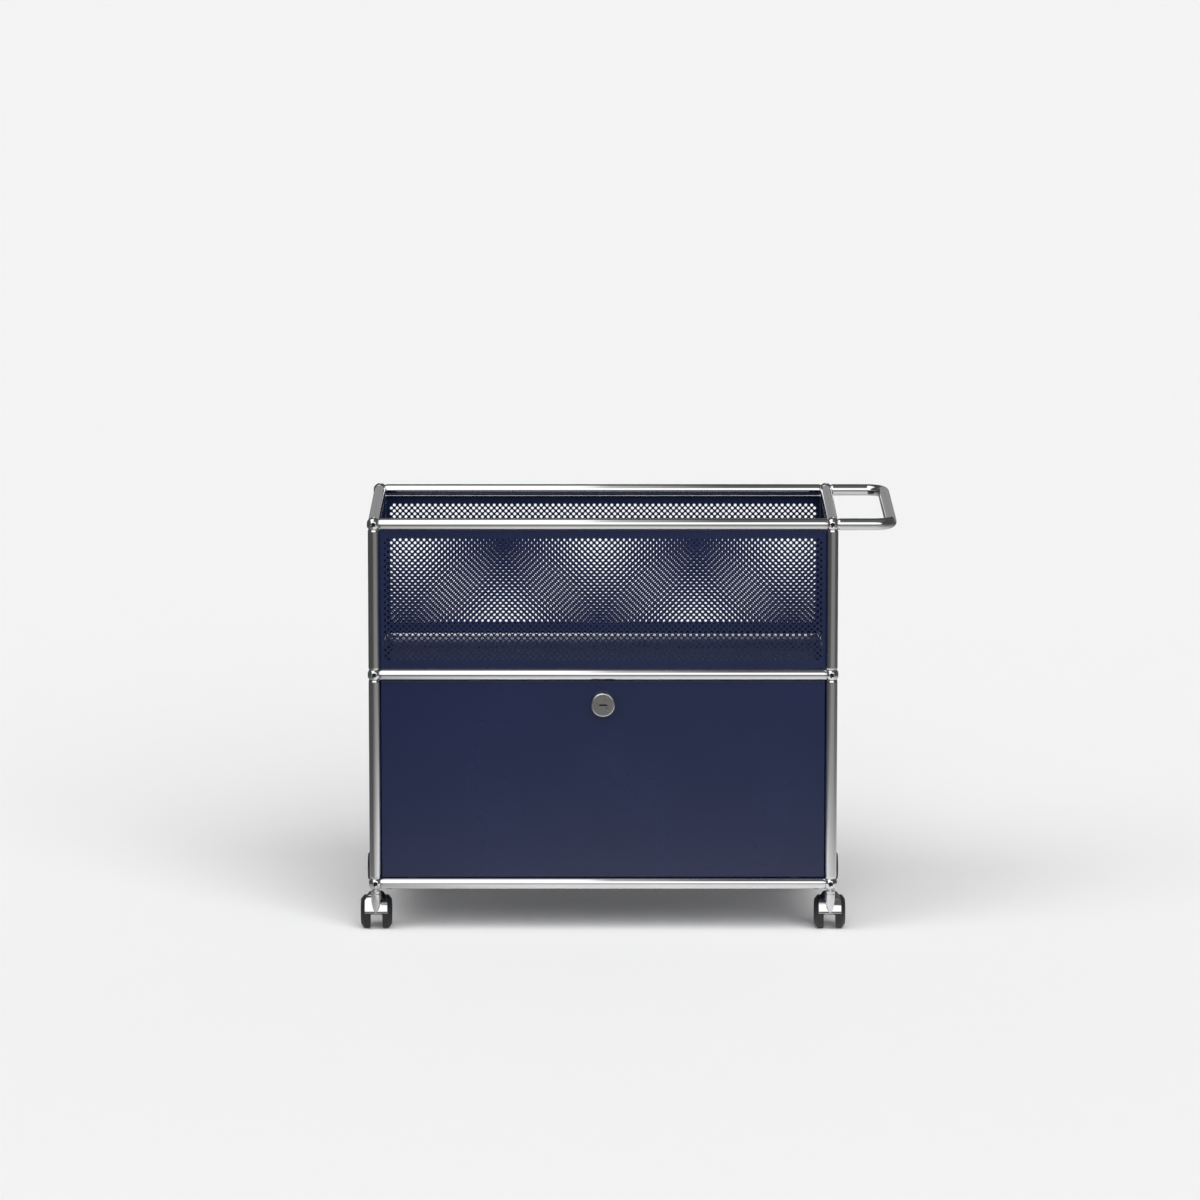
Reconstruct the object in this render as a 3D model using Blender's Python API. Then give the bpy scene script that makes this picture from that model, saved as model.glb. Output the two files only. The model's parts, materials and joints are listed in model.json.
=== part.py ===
"""Media trolley: chromed tubes and balls, folded sheet panels, a drop-down door and twin-wheel casters.

Metres, Z up.  The frame is laid out round its own middle, at the height of its lowest ball centres,
and an empty then carries it so that the origin lies on the floor under the middle of the outline.
Front is -Y, the push handle is on the +X side.
"""
import math

import bmesh
import bpy
from mathutils import Matrix, Vector

# Tube frame
FRAME_WIDTH = 0.750           # ball centre to ball centre, left to right
FRAME_DEPTH = 0.350           # ball centre to ball centre, front to back
LOWER_HEIGHT = 0.350          # ball centre to ball centre, cabinet
UPPER_HEIGHT = 0.250          # ball centre to ball centre, open bay
TUBE_DIAMETER = 0.019
TUBE_WALL = 0.0015
BALL_DIAMETER = 0.023
THREAD_DIAMETER = 0.0065      # open threaded hole in each unused side of a ball
THREAD_DEPTH = 0.004
TOUCH_GAP = 0.0003            # left between two pieces that touch
END_GAP = 0.0009              # between the end of a pin and the bottom of its hole
PIN_END = 0.0009              # pin or spindle past the piece that it carries
CUT_MARGIN = 0.001            # how far a cutter runs past the sheet

# Push handle
HANDLE_REACH = 0.096          # ball centre to the grip's centre line
HANDLE_BEND = 0.028           # bend radius on the centre line

# Folded sheet panels
SHEET = 0.0008
TURNED_EDGE = 0.009           # depth of the edge folded back round a panel
FOLD_RADIUS = 0.0012
PERFORATION_MARGIN = 0.0065   # plain strip between a panel's edge and its openings
OPENING_STEP = 0.029          # least half distance between openings in one row
OPENING_SHARE = 0.40          # share of the perforated field that is open

# Drop-down door
DOOR_SIDE_GAP = 0.0010        # between the door's edge and an upright tube
DOOR_EDGE_GAP = 0.0011        # between the door's edge and a level tube
DOOR_TURNED_EDGE = 0.0092
HINGE_SETBACK = 0.0030        # hinge pin behind the door's face
HINGE_RISE = 0.0037           # hinge pin above the top of the lower tube
HINGE_INSET = 0.050           # hinge's middle to the door's end
HINGE_WIDTH = 0.014
HINGE_PIN_DIAMETER = 0.003
HINGE_BOSS_DIAMETER = 0.0038
HINGE_FOOT_ANGLES = (30.0, 52.0)   # where the hinge sits on the tube, degrees up from its back
HINGE_THROAT = (0.0040, -0.0015)   # inner corner of foot and finger, back and up from the pin
HINGE_PANEL_GAP = 0.0004      # between the hinge's back and the bottom shelf
HINGE_CLEARANCE = 0.0003      # slot in the door's turned edge starts this far behind the leaf
EAR_GAP = 0.0006              # between the hinge's finger and each ear
EAR_THICKNESS = 0.0015
EAR_DEPTH = 0.0062
EAR_HEIGHT = 0.0070

# Lock
KNOB_DIAMETER = 0.040
KNOB_PROUD = 0.012
KNOB_DROP = 0.049             # knob's centre below the middle tube's centre line
KNOB_EDGE = 0.0015            # chamfer round the knob's face
BARREL_DIAMETER = 0.021       # threaded barrel through the door
BARREL_NUT_DIAMETER = 0.030
BARREL_NUT_THICKNESS = 0.004
PLUG_DIAMETER = 0.015
SLOT_LENGTH = 0.012
SLOT_WIDTH = 0.0025
SLOT_DEPTH = 0.004
CAM_THICKNESS = 0.002
CAM_SETBACK = 0.0006          # cam behind the shelf's turned edge that it catches
CAM_REACH = 0.046             # plug's axis to the cam's tip
CAM_HUB_WIDTH = 0.014
CAM_TIP_WIDTH = 0.009
SPINDLE_DIAMETER = 0.007      # plug's tail that carries the cam

# Casters
COLLAR_DIAMETER = 0.0145
COLLAR_TOP = 0.0122           # collar's top below the ball centre
COLLAR_HEIGHT = 0.0056
STEM_DIAMETER = 0.008
STEM_LENGTH = 0.021           # stem below its collar
STEM_SEAT = 0.0035            # stem screwed into the ball
SOCKET_LENGTH = 0.0183        # straight part of the fork's socket
SOCKET_TAPER = 0.0136         # pointed part below it
SOCKET_TIP_DIAMETER = 0.004
AXLE_DROP = 0.0566            # axle below the ball centre
CASTER_TRAIL = 0.042          # axle behind the swivel axis
AXLE_DIAMETER = 0.006
WHEEL_RADIUS = 0.0278
WHEEL_WIDTH = 0.0153
WHEEL_SPACING = 0.0206        # between the inner faces of the two wheels
WHEEL_CHAMFER = 0.007
WHEEL_INNER_CHAMFER = 0.001
WHEEL_BORE_DEPTH = 0.011
WHEEL_SIDE_GAP = 0.0005       # between a wheel and the fork's web
HOOD_GAP = 0.0012             # between the wheels' tread and the hood
HOOD_THICKNESS = 0.002
HOOD_WIDTH = 0.0376
HOOD_SWEEP = (4.5, 68.0)       # degrees up from the front, lip and upper end
CROWN_WIDTH = 0.026
CROWN_TOP_WIDTH = 0.021
CROWN_HEIGHT = 0.0057         # crown's top above the hood's inner face
CROWN_SWEEP = (56.0, 140.0)   # degrees up from the front
HUB_RADIUS = 0.009
RIB_WIDTH = 0.0044
NECK_HEIGHT = 0.009
NECK_WIDTH = 0.013

# Facets round each kind of round piece
TUBE_SIDES = 12
BALL_SIDES = 12
THREAD_SIDES = 6
WHEEL_SIDES = 16
LOCK_SIDES = 18
PIN_SIDES = 10
BEND_STEPS = 3
HOOD_STEP = 16.0              # degrees between the hood's edges
SMOOTH_ANGLE = 40.0           # sharper edges than this stay crisp on a round piece, degrees
WELD_DISTANCE = 0.000001

# Places that follow from the sizes above, in the frame's own layout
HALF_WIDTH = FRAME_WIDTH / 2
HALF_DEPTH = FRAME_DEPTH / 2
TUBE_RADIUS = TUBE_DIAMETER / 2
BALL_RADIUS = BALL_DIAMETER / 2
BORE_RADIUS = TUBE_RADIUS - TUBE_WALL
TUBE_SEAT = math.sqrt(BALL_RADIUS ** 2 - BORE_RADIUS ** 2) + TOUCH_GAP
TUBE_END_CONE = TUBE_RADIUS - TUBE_SEAT + TOUCH_GAP
PANEL_EDGE = TUBE_RADIUS + TOUCH_GAP          # tube's centre line to a panel's edge
TOP = LOWER_HEIGHT + UPPER_HEIGHT
HINGE_HEIGHT = TUBE_RADIUS + HINGE_RISE
KNOB_HEIGHT = LOWER_HEIGHT - KNOB_DROP
CAM_DEPTH = PANEL_EDGE + SHEET + CAM_SETBACK   # front of the cam behind the front tubes' plane
FLOOR = -(AXLE_DROP + WHEEL_RADIUS)

# Middle of the outline: handle to left wheels, and knob to the rear of the back wheels
OUTLINE_RIGHT = HALF_WIDTH + HANDLE_REACH + TUBE_RADIUS
OUTLINE_LEFT = -(HALF_WIDTH + WHEEL_SPACING / 2 + WHEEL_WIDTH)
OUTLINE_FRONT = -(HALF_DEPTH + KNOB_PROUD)
OUTLINE_BACK = HALF_DEPTH + CASTER_TRAIL + WHEEL_RADIUS
ORIGIN_SHIFT = Vector((-(OUTLINE_RIGHT + OUTLINE_LEFT) / 2, -(OUTLINE_FRONT + OUTLINE_BACK) / 2, -FLOOR))


def clear_scene():
    for old in list(bpy.data.objects):
        bpy.data.objects.remove(old, do_unlink=True)


def finish(name, colour, roughness, metallic):
    """A Principled material with one colour."""
    material = bpy.data.materials.new(name)
    material.use_nodes = True
    shader = material.node_tree.nodes["Principled BSDF"]
    shader.inputs["Base Color"].default_value = (*colour, 1.0)
    shader.inputs["Roughness"].default_value = roughness
    shader.inputs["Metallic"].default_value = metallic
    return material


def empty(name, parent, location):
    """A marker that carries other pieces; on a moving piece it sits on the joint's axis."""
    marker = bpy.data.objects.new(name, None)
    bpy.context.collection.objects.link(marker)
    marker.parent = parent
    marker.location = location
    return marker


def place(name, mesh, material, parent, location=(0.0, 0.0, 0.0), turn=0.0):
    """One sub-part: its mesh, finish, parent, place and turn round Z."""
    piece = bpy.data.objects.new(name, mesh)
    bpy.context.collection.objects.link(piece)
    if not mesh.materials:
        mesh.materials.append(material)
    piece.parent = parent
    piece.location = location
    piece.rotation_euler = (0.0, 0.0, turn)
    return piece


def to_mesh(bm, name, smooth=False):
    """Closed bmesh to mesh, faces out, round forms shaded smooth."""
    bmesh.ops.recalc_face_normals(bm, faces=bm.faces)
    mesh = bpy.data.meshes.new(name)
    bm.to_mesh(mesh)
    bm.free()
    if smooth:
        mesh.shade_smooth()
        mesh.set_sharp_from_angle(angle=math.radians(SMOOTH_ANGLE))
    return mesh


def combine(mesh, tools, operation):
    """The mesh after an exact Boolean with each tool mesh, all in one space."""
    body = bpy.data.objects.new("body", mesh)
    bpy.context.collection.objects.link(body)
    helpers = [body]
    for tool in tools:
        helper = bpy.data.objects.new("tool", tool)
        bpy.context.collection.objects.link(helper)
        helper.hide_render = True
        helper.display_type = "WIRE"
        helpers.append(helper)
        modifier = body.modifiers.new("cut", "BOOLEAN")
        modifier.solver = "EXACT"
        modifier.operation = operation
        modifier.object = helper
    shape = body.evaluated_get(bpy.context.evaluated_depsgraph_get())
    result = bpy.data.meshes.new_from_object(shape)
    result.name = mesh.name
    result.materials.clear()
    for helper in helpers:
        bpy.data.objects.remove(helper, do_unlink=True)
    return result


def moved(mesh, matrix):
    """The mesh after its points went through a matrix."""
    mesh.transform(matrix)
    return mesh


def revolve(name, profile, sides):
    """Solid of revolution round Z from (radius, height) points, joined end to end where off the axis."""
    bm = bmesh.new()
    verts = [bm.verts.new((radius, 0.0, height)) for radius, height in profile]
    pairs = list(zip(verts, verts[1:]))
    if profile[0][0] > 0.0 and profile[-1][0] > 0.0:
        pairs.append((verts[-1], verts[0]))
    edges = [bm.edges.new(pair) for pair in pairs]
    bmesh.ops.spin(bm, geom=verts + edges, cent=(0.0, 0.0, 0.0), axis=(0.0, 0.0, 1.0),
                   angle=math.tau, steps=sides, use_merge=True)
    bmesh.ops.remove_doubles(bm, verts=bm.verts, dist=WELD_DISTANCE)
    return to_mesh(bm, name, smooth=True)


def prism(name, outline, width):
    """A (y, z) outline carried along X, width/2 to each side."""
    bm = bmesh.new()
    verts = [bm.verts.new((-width / 2, y, z)) for y, z in outline]
    face = bm.faces.new(verts)
    carried = bmesh.ops.extrude_face_region(bm, geom=[face])["geom"]
    bmesh.ops.translate(bm, vec=(width, 0.0, 0.0),
                        verts=[item for item in carried if isinstance(item, bmesh.types.BMVert)])
    return to_mesh(bm, name)


def box(name, low, high):
    """A block between two corners."""
    bm = bmesh.new()
    bmesh.ops.create_cube(bm, size=1.0)
    size = Vector(high) - Vector(low)
    middle = (Vector(high) + Vector(low)) / 2
    bmesh.ops.transform(bm, verts=bm.verts, matrix=Matrix.Translation(middle) @ Matrix.Diagonal((*size, 1.0)))
    return to_mesh(bm, name)


def arc(centre, radius, start, end, steps):
    """Points (y, z) on an arc, in degrees up from the back of its centre."""
    angles = [math.radians(start + (end - start) * step / steps) for step in range(steps + 1)]
    return [(centre[0] + radius * math.cos(a), centre[1] + radius * math.sin(a)) for a in angles]


def round_out(radius, sides):
    """Corner radius of a polygon whose flats lie at this radius."""
    return radius / math.cos(math.pi / sides)


def rings_along(bm, points, radius):
    """Rings of vertices square to a path that lies level or upright."""
    turns = [math.tau * step / TUBE_SIDES for step in range(TUBE_SIDES)]
    rings = []
    for index, point in enumerate(points):
        before = points[max(index - 1, 0)]
        after = points[min(index + 1, len(points) - 1)]
        along = (after - before).normalized()
        side = Vector((0.0, 0.0, 1.0)) if abs(along.z) < 0.5 else Vector((1.0, 0.0, 0.0))
        across = along.cross(side).normalized()
        rings.append([bm.verts.new(point + radius * (side * math.cos(a) + across * math.sin(a)))
                      for a in turns])
    return rings


def pipe(name, path):
    """Hollow round tube along a path; each end is turned to a cone that seats on a ball."""
    bm = bmesh.new()
    points = [Vector(point) for point in path]
    first_step = (points[1] - points[0]).normalized() * TUBE_END_CONE
    last_step = (points[-2] - points[-1]).normalized() * TUBE_END_CONE
    skin = [points[0] + first_step, *points[1:-1], points[-1] + last_step]
    outer = rings_along(bm, skin, TUBE_RADIUS)
    inner = rings_along(bm, points, BORE_RADIUS)
    bands = list(zip(outer, outer[1:])) + list(zip(inner, inner[1:]))
    bands += [(outer[0], inner[0]), (outer[-1], inner[-1])]
    for first, second in bands:
        for step in range(TUBE_SIDES):
            following = (step + 1) % TUBE_SIDES
            bm.faces.new((first[step], first[following], second[following], second[step]))
    return to_mesh(bm, name, smooth=True)


def tray(name, width, height, depth):
    """Folded sheet panel: face in the XZ plane at y = 0, rounded folds, edges turned back to y = depth."""
    bm = bmesh.new()
    bmesh.ops.create_grid(bm, x_segments=1, y_segments=1, size=0.5)
    stand = Matrix.Rotation(math.radians(90.0), 4, "X")
    bmesh.ops.transform(bm, verts=bm.verts, matrix=Matrix.Diagonal((width, 1.0, height, 1.0)) @ stand)
    face_edges = list(bm.edges)
    rim = bmesh.ops.extrude_edge_only(bm, edges=face_edges)["geom"]
    bmesh.ops.translate(bm, vec=(0.0, depth, 0.0),
                        verts=[item for item in rim if isinstance(item, bmesh.types.BMVert)])
    bmesh.ops.bevel(bm, geom=face_edges, offset=FOLD_RADIUS, segments=2, profile=0.5, affect="EDGES")
    bmesh.ops.recalc_face_normals(bm, faces=bm.faces)
    front = min(bm.faces, key=lambda f: f.calc_center_median().y)
    if front.normal.y > 0.0:
        bmesh.ops.reverse_faces(bm, faces=bm.faces)
    mesh = bpy.data.meshes.new(name)
    bm.to_mesh(mesh)
    bm.free()
    sheet = bpy.data.objects.new("sheet", mesh)
    bpy.context.collection.objects.link(sheet)
    wall = sheet.modifiers.new("sheet", "SOLIDIFY")
    wall.thickness = SHEET
    wall.offset = -1.0
    wall.use_even_offset = True
    result = bpy.data.meshes.new_from_object(sheet.evaluated_get(bpy.context.evaluated_depsgraph_get()))
    result.name = name
    bpy.data.objects.remove(sheet, do_unlink=True)
    return result


def perforation(width, height):
    """Cutter for staggered square openings, set on their corners, over the middle of a panel's face.

    The real panel has round 5 mm holes 7 mm apart on the same 45 degree stagger.  Each opening here
    stands for a patch of them and leaves the same share of the sheet.
    """
    half_diagonal = OPENING_STEP * math.sqrt(OPENING_SHARE)
    reach_x = width / 2 - PERFORATION_MARGIN - half_diagonal
    reach_z = height / 2 - PERFORATION_MARGIN - half_diagonal
    columns = max(1, int(reach_x / OPENING_STEP))
    rows = max(1, int(reach_z / OPENING_STEP))
    corners = ((half_diagonal, 0.0), (0.0, half_diagonal), (-half_diagonal, 0.0), (0.0, -half_diagonal))
    bm = bmesh.new()
    for column in range(-columns, columns + 1):
        for row in range(-rows, rows + 1):
            if (column + row) % 2:
                continue
            centre = (column * reach_x / columns, row * reach_z / rows)
            ring = [bm.verts.new((centre[0] + x, -CUT_MARGIN, centre[1] + z)) for x, z in corners]
            bm.faces.new(ring)
    carried = bmesh.ops.extrude_face_region(bm, geom=list(bm.faces))["geom"]
    bmesh.ops.translate(bm, vec=(0.0, SHEET + 2 * CUT_MARGIN, 0.0),
                        verts=[item for item in carried if isinstance(item, bmesh.types.BMVert)])
    return to_mesh(bm, "openings")


def ball_mesh(open_sides, with_stem):
    """Ball joint with a threaded hole in each open side; a lowest ball also holds a caster's stem."""
    bm = bmesh.new()
    bmesh.ops.create_uvsphere(bm, u_segments=BALL_SIDES, v_segments=BALL_SIDES // 2, radius=BALL_RADIUS)
    mesh = to_mesh(bm, "ball", smooth=True)
    if with_stem:
        mesh = combine(mesh, [stem_mesh()], "UNION")
    bottom = BALL_RADIUS - THREAD_DEPTH
    profile = [(0.0, bottom), (THREAD_DIAMETER / 2, bottom),
               (THREAD_DIAMETER / 2, BALL_DIAMETER), (0.0, BALL_DIAMETER)]
    drills = []
    for side in open_sides:
        aim = Vector((0.0, 0.0, 1.0)).rotation_difference(Vector(side)).to_matrix().to_4x4()
        drills.append(moved(revolve("drill", profile, THREAD_SIDES), aim))
    return combine(mesh, drills, "DIFFERENCE")


def stem_mesh():
    """Caster stem screwed into a lowest ball, with the collar that clamps it."""
    collar_bottom = -(COLLAR_TOP + COLLAR_HEIGHT)
    stem_top = -(BALL_RADIUS - STEM_SEAT)
    stem = STEM_DIAMETER / 2
    collar = COLLAR_DIAMETER / 2
    return revolve("stem", [
        (0.0, stem_top), (stem, stem_top), (stem, -COLLAR_TOP), (collar, -COLLAR_TOP),
        (collar, collar_bottom), (stem, collar_bottom), (stem, collar_bottom - STEM_LENGTH),
        (0.0, collar_bottom - STEM_LENGTH)], TUBE_SIDES)


def build_frame(root, chrome):
    """Twelve balls, twenty straight tubes and the push handle."""
    levels = (("bottom", 0.0), ("middle", LOWER_HEIGHT), ("top", TOP))
    fronts = (("front", -1), ("back", 1))
    sides = (("left", -1), ("right", 1))
    for level, z in levels:
        for front, y_sign in fronts:
            for side, x_sign in sides:
                open_sides = [(0, y_sign, 0)]
                if not (level == "top" and side == "right"):
                    open_sides.append((x_sign, 0, 0))
                if level == "top":
                    open_sides.append((0, 0, 1))
                mesh = ball_mesh(open_sides, level == "bottom")
                place(f"ball_{front}_{side}_{level}", mesh, chrome, root,
                      (x_sign * HALF_WIDTH, y_sign * HALF_DEPTH, z))
    long_half = HALF_WIDTH - TUBE_SEAT
    short_half = HALF_DEPTH - TUBE_SEAT
    long_tube = pipe("long_tube", [(-long_half, 0.0, 0.0), (long_half, 0.0, 0.0)])
    short_tube = pipe("short_tube", [(0.0, -short_half, 0.0), (0.0, short_half, 0.0)])
    for level, z in levels:
        for front, y_sign in fronts:
            place(f"tube_{front}_{level}", long_tube, chrome, root, (0.0, y_sign * HALF_DEPTH, z))
        for side, x_sign in sides:
            place(f"tube_{side}_{level}", short_tube, chrome, root, (x_sign * HALF_WIDTH, 0.0, z))
    posts = (("lower", 0.0, LOWER_HEIGHT), ("upper", LOWER_HEIGHT, UPPER_HEIGHT))
    for storey, foot, height in posts:
        post = pipe("post", [(0.0, 0.0, TUBE_SEAT), (0.0, 0.0, height - TUBE_SEAT)])
        for front, y_sign in fronts:
            for side, x_sign in sides:
                place(f"post_{front}_{side}_{storey}", post, chrome, root,
                      (x_sign * HALF_WIDTH, y_sign * HALF_DEPTH, foot))
    place("push_handle", handle_mesh(), chrome, root, (HALF_WIDTH, 0.0, TOP))


def handle_mesh():
    """U of tube from the front right ball out, along the side and back to the rear right ball."""
    corner_x = HANDLE_REACH - HANDLE_BEND
    corner_y = HALF_DEPTH - HANDLE_BEND
    path = [(TUBE_SEAT, -HALF_DEPTH, 0.0)]
    for sign, start, end in ((-1, -90.0, 0.0), (1, 0.0, 90.0)):
        for step in range(BEND_STEPS + 1):
            angle = math.radians(start + (end - start) * step / BEND_STEPS)
            path.append((corner_x + HANDLE_BEND * math.cos(angle),
                         sign * corner_y + HANDLE_BEND * math.sin(angle), 0.0))
    path.append((TUBE_SEAT, HALF_DEPTH, 0.0))
    return pipe("handle", path)


def upright_panel(name, root, material, face, storey, perforated):
    """Panel in one face of the frame: (outward x, outward y), storey foot and height."""
    span = FRAME_WIDTH if face[1] else FRAME_DEPTH
    foot, storey_height = storey
    width = span - 2 * PANEL_EDGE
    height = storey_height - 2 * PANEL_EDGE
    mesh = tray(name, width, height, TURNED_EDGE)
    if perforated:
        mesh = combine(mesh, [perforation(width, height)], "DIFFERENCE")
    turn = math.atan2(face[1], face[0]) + math.radians(90.0)
    place(name, mesh, material, root,
          (face[0] * HALF_WIDTH, face[1] * HALF_DEPTH, foot + storey_height / 2), turn)


def shelf(name, root, material, level, face_up):
    """Level panel between four tubes, its face on their centre plane and its edges turned away from it."""
    mesh = tray(name, FRAME_WIDTH - 2 * PANEL_EDGE, FRAME_DEPTH - 2 * PANEL_EDGE, TURNED_EDGE)
    lay = Matrix.Rotation(math.radians(-90.0 if face_up else 90.0), 4, "X")
    place(name, moved(mesh, lay), material, root, (0.0, 0.0, level))


def build_panels(root, material):
    """Four perforated panels round the bay, three plain ones round the cabinet, and two shelves."""
    upper = (LOWER_HEIGHT, UPPER_HEIGHT)
    lower = (0.0, LOWER_HEIGHT)
    faces = {"front": (0, -1), "back": (0, 1), "left": (-1, 0), "right": (1, 0)}
    for side, face in faces.items():
        upright_panel(f"perforated_panel_{side}", root, material, face, upper, True)
    for side in ("back", "left", "right"):
        upright_panel(f"cabinet_panel_{side}", root, material, faces[side], lower, False)
    shelf("shelf_middle", root, material, LOWER_HEIGHT, True)
    shelf("shelf_bottom", root, material, 0.0, False)


def hinge_places():
    """The x of each hinge, from the door's own ends."""
    door_half = HALF_WIDTH - TUBE_RADIUS - DOOR_SIDE_GAP
    return (-(door_half - HINGE_INSET), door_half - HINGE_INSET)


def door_mesh():
    """Door leaf seen from its hinge pin: folded sheet, hole for the barrel, hinge ears and slots."""
    width = FRAME_WIDTH - 2 * (TUBE_RADIUS + DOOR_SIDE_GAP)
    height = LOWER_HEIGHT - 2 * (TUBE_RADIUS + DOOR_EDGE_GAP)
    face_y = -HINGE_SETBACK
    bottom = TUBE_RADIUS + DOOR_EDGE_GAP - HINGE_HEIGHT
    leaf = moved(tray("door", width, height, DOOR_TURNED_EDGE),
                 Matrix.Translation((0.0, face_y, bottom + height / 2)))
    ears, cuts = [], []
    ear_start = HINGE_WIDTH / 2 + EAR_GAP
    for x in hinge_places():
        for sign in (-1, 1):
            near, far = sorted((x + sign * ear_start, x + sign * (ear_start + EAR_THICKNESS)))
            ears.append(box("ear", (near, face_y + SHEET / 2, bottom + SHEET / 2),
                            (far, face_y + EAR_DEPTH, bottom + EAR_HEIGHT)))
        cuts.append(box("slot", (x - ear_start, face_y + SHEET + HINGE_CLEARANCE, bottom - CUT_MARGIN),
                        (x + ear_start, face_y + DOOR_TURNED_EDGE + CUT_MARGIN, bottom + SHEET + CUT_MARGIN)))
        pin = HINGE_PIN_DIAMETER / 2 + TOUCH_GAP
        reach = ear_start + EAR_THICKNESS + CUT_MARGIN
        hole = revolve("hole", [(0.0, -reach), (round_out(pin, PIN_SIDES), -reach),
                                (round_out(pin, PIN_SIDES), reach), (0.0, reach)], PIN_SIDES)
        cuts.append(moved(hole, Matrix.Translation((x, 0.0, 0.0)) @ Matrix.Rotation(math.pi / 2, 4, "Y")))
    barrel = round_out(BARREL_DIAMETER / 2 + TOUCH_GAP, LOCK_SIDES)
    through = SHEET + CUT_MARGIN
    bore = revolve("bore", [(0.0, -CUT_MARGIN), (barrel, -CUT_MARGIN), (barrel, through), (0.0, through)],
                   LOCK_SIDES)
    knob_place = Matrix.Translation((0.0, face_y, KNOB_HEIGHT - HINGE_HEIGHT))
    cuts.append(moved(bore, knob_place @ Matrix.Rotation(-math.pi / 2, 4, "X")))
    return combine(combine(leaf, ears, "UNION"), cuts, "DIFFERENCE")


def hinge_mesh():
    """Hinge block on the lower tube, seen from its pin: a foot on the tube, a finger and a cross pin."""
    tube = (-HINGE_SETBACK, -HINGE_HEIGHT)
    foot = arc(tube, TUBE_RADIUS + TOUCH_GAP, *HINGE_FOOT_ANGLES, 3)
    boss = HINGE_BOSS_DIAMETER / 2
    back = PANEL_EDGE - HINGE_PANEL_GAP - HINGE_SETBACK
    nose = arc((0.0, 0.0), boss, 270.0, 90.0, 6)
    outline = foot + [HINGE_THROAT] + nose + [(back, boss), (back, foot[0][1])]
    block = prism("hinge", outline, HINGE_WIDTH)
    reach = HINGE_WIDTH / 2 + EAR_GAP + EAR_THICKNESS + PIN_END
    pin = HINGE_PIN_DIAMETER / 2
    rod = revolve("pin", [(0.0, -reach), (pin, -reach), (pin, reach), (0.0, reach)], PIN_SIDES)
    return combine(block, [moved(rod, Matrix.Rotation(math.pi / 2, 4, "Y"))], "UNION")


def build_door(root, paint, steel, satin):
    """Drop-down door on its two hinges, with the lock; returns the door's and the lock's axes."""
    axis = empty("door_axis", root, (0.0, -HALF_DEPTH + HINGE_SETBACK, HINGE_HEIGHT))
    place("door", door_mesh(), paint, axis)
    block = hinge_mesh()
    for side, x in zip(("left", "right"), hinge_places()):
        place(f"hinge_{side}", block, steel, root, (x, -HALF_DEPTH + HINGE_SETBACK, HINGE_HEIGHT))
    lock_axis = empty("lock_axis", axis, (0.0, -HINGE_SETBACK, KNOB_HEIGHT - HINGE_HEIGHT))
    place("lock_knob", knob_mesh(), satin, lock_axis)
    place("lock_plug", plug_mesh(), satin, lock_axis)
    place("lock_cam", cam_mesh(), steel, lock_axis)
    return axis, lock_axis


def knob_mesh():
    """Fixed round knob with its barrel and nut, front towards -Y; the door's face is at y = 0."""
    bore = round_out(PLUG_DIAMETER / 2 + TOUCH_GAP, LOCK_SIDES)
    knob = KNOB_DIAMETER / 2
    barrel = BARREL_DIAMETER / 2
    nut = BARREL_NUT_DIAMETER / 2
    nut_front = SHEET + TOUCH_GAP
    end = nut_front + BARREL_NUT_THICKNESS
    profile = [(bore, -KNOB_PROUD), (knob - KNOB_EDGE, -KNOB_PROUD), (knob, -KNOB_PROUD + KNOB_EDGE),
               (knob, -TOUCH_GAP), (barrel, -TOUCH_GAP), (barrel, nut_front), (nut, nut_front),
               (nut, end), (bore, end)]
    return moved(revolve("knob", profile, LOCK_SIDES), Matrix.Rotation(-math.pi / 2, 4, "X"))


def plug_mesh():
    """Turning plug with the key slot in front and the spindle for the cam behind."""
    plug = PLUG_DIAMETER / 2
    spindle = SPINDLE_DIAMETER / 2
    shoulder = CAM_DEPTH - TOUCH_GAP
    end = CAM_DEPTH + CAM_THICKNESS + PIN_END
    turned = revolve("plug", [(0.0, -KNOB_PROUD), (plug, -KNOB_PROUD), (plug, shoulder), (spindle, shoulder),
                              (spindle, end), (0.0, end)], LOCK_SIDES)
    turned = moved(turned, Matrix.Rotation(-math.pi / 2, 4, "X"))
    slot = box("slot", (-SLOT_LENGTH / 2, -KNOB_PROUD - SLOT_DEPTH, -SLOT_WIDTH / 2),
               (SLOT_LENGTH / 2, -KNOB_PROUD + SLOT_DEPTH, SLOT_WIDTH / 2))
    return combine(turned, [slot], "DIFFERENCE")


def cam_mesh():
    """Lock cam: a tapered bar towards -X that turns up behind the middle shelf's turned edge."""
    hub = CAM_HUB_WIDTH / 2
    tip = CAM_TIP_WIDTH / 2
    hub_arc = arc((0.0, 0.0), hub, 90.0, -90.0, 6)
    tip_arc = arc((-(CAM_REACH - tip), 0.0), tip, 270.0, 90.0, 4)
    bar = prism("cam", hub_arc + tip_arc, CAM_THICKNESS)
    swing = Matrix.Translation((0.0, CAM_DEPTH + CAM_THICKNESS / 2, 0.0)) @ Matrix(
        ((0.0, 1.0, 0.0, 0.0), (1.0, 0.0, 0.0, 0.0), (0.0, 0.0, 1.0, 0.0), (0.0, 0.0, 0.0, 1.0)))
    bar = moved(bar, swing)
    bar.flip_normals()
    hole = round_out(SPINDLE_DIAMETER / 2 + TOUCH_GAP, PIN_SIDES)
    through = CAM_DEPTH + CAM_THICKNESS + CUT_MARGIN
    drill = revolve("drill", [(0.0, 0.0), (hole, 0.0), (hole, through), (0.0, through)], PIN_SIDES)
    return combine(bar, [moved(drill, Matrix.Rotation(-math.pi / 2, 4, "X"))], "DIFFERENCE")


def hood_arc(radius, start, end):
    """Points (y, z) round the axle, in degrees up from the front."""
    steps = max(1, round(abs(end - start) / HOOD_STEP))
    return arc((CASTER_TRAIL, -AXLE_DROP), radius, 180.0 - start, 180.0 - end, steps)


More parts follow.
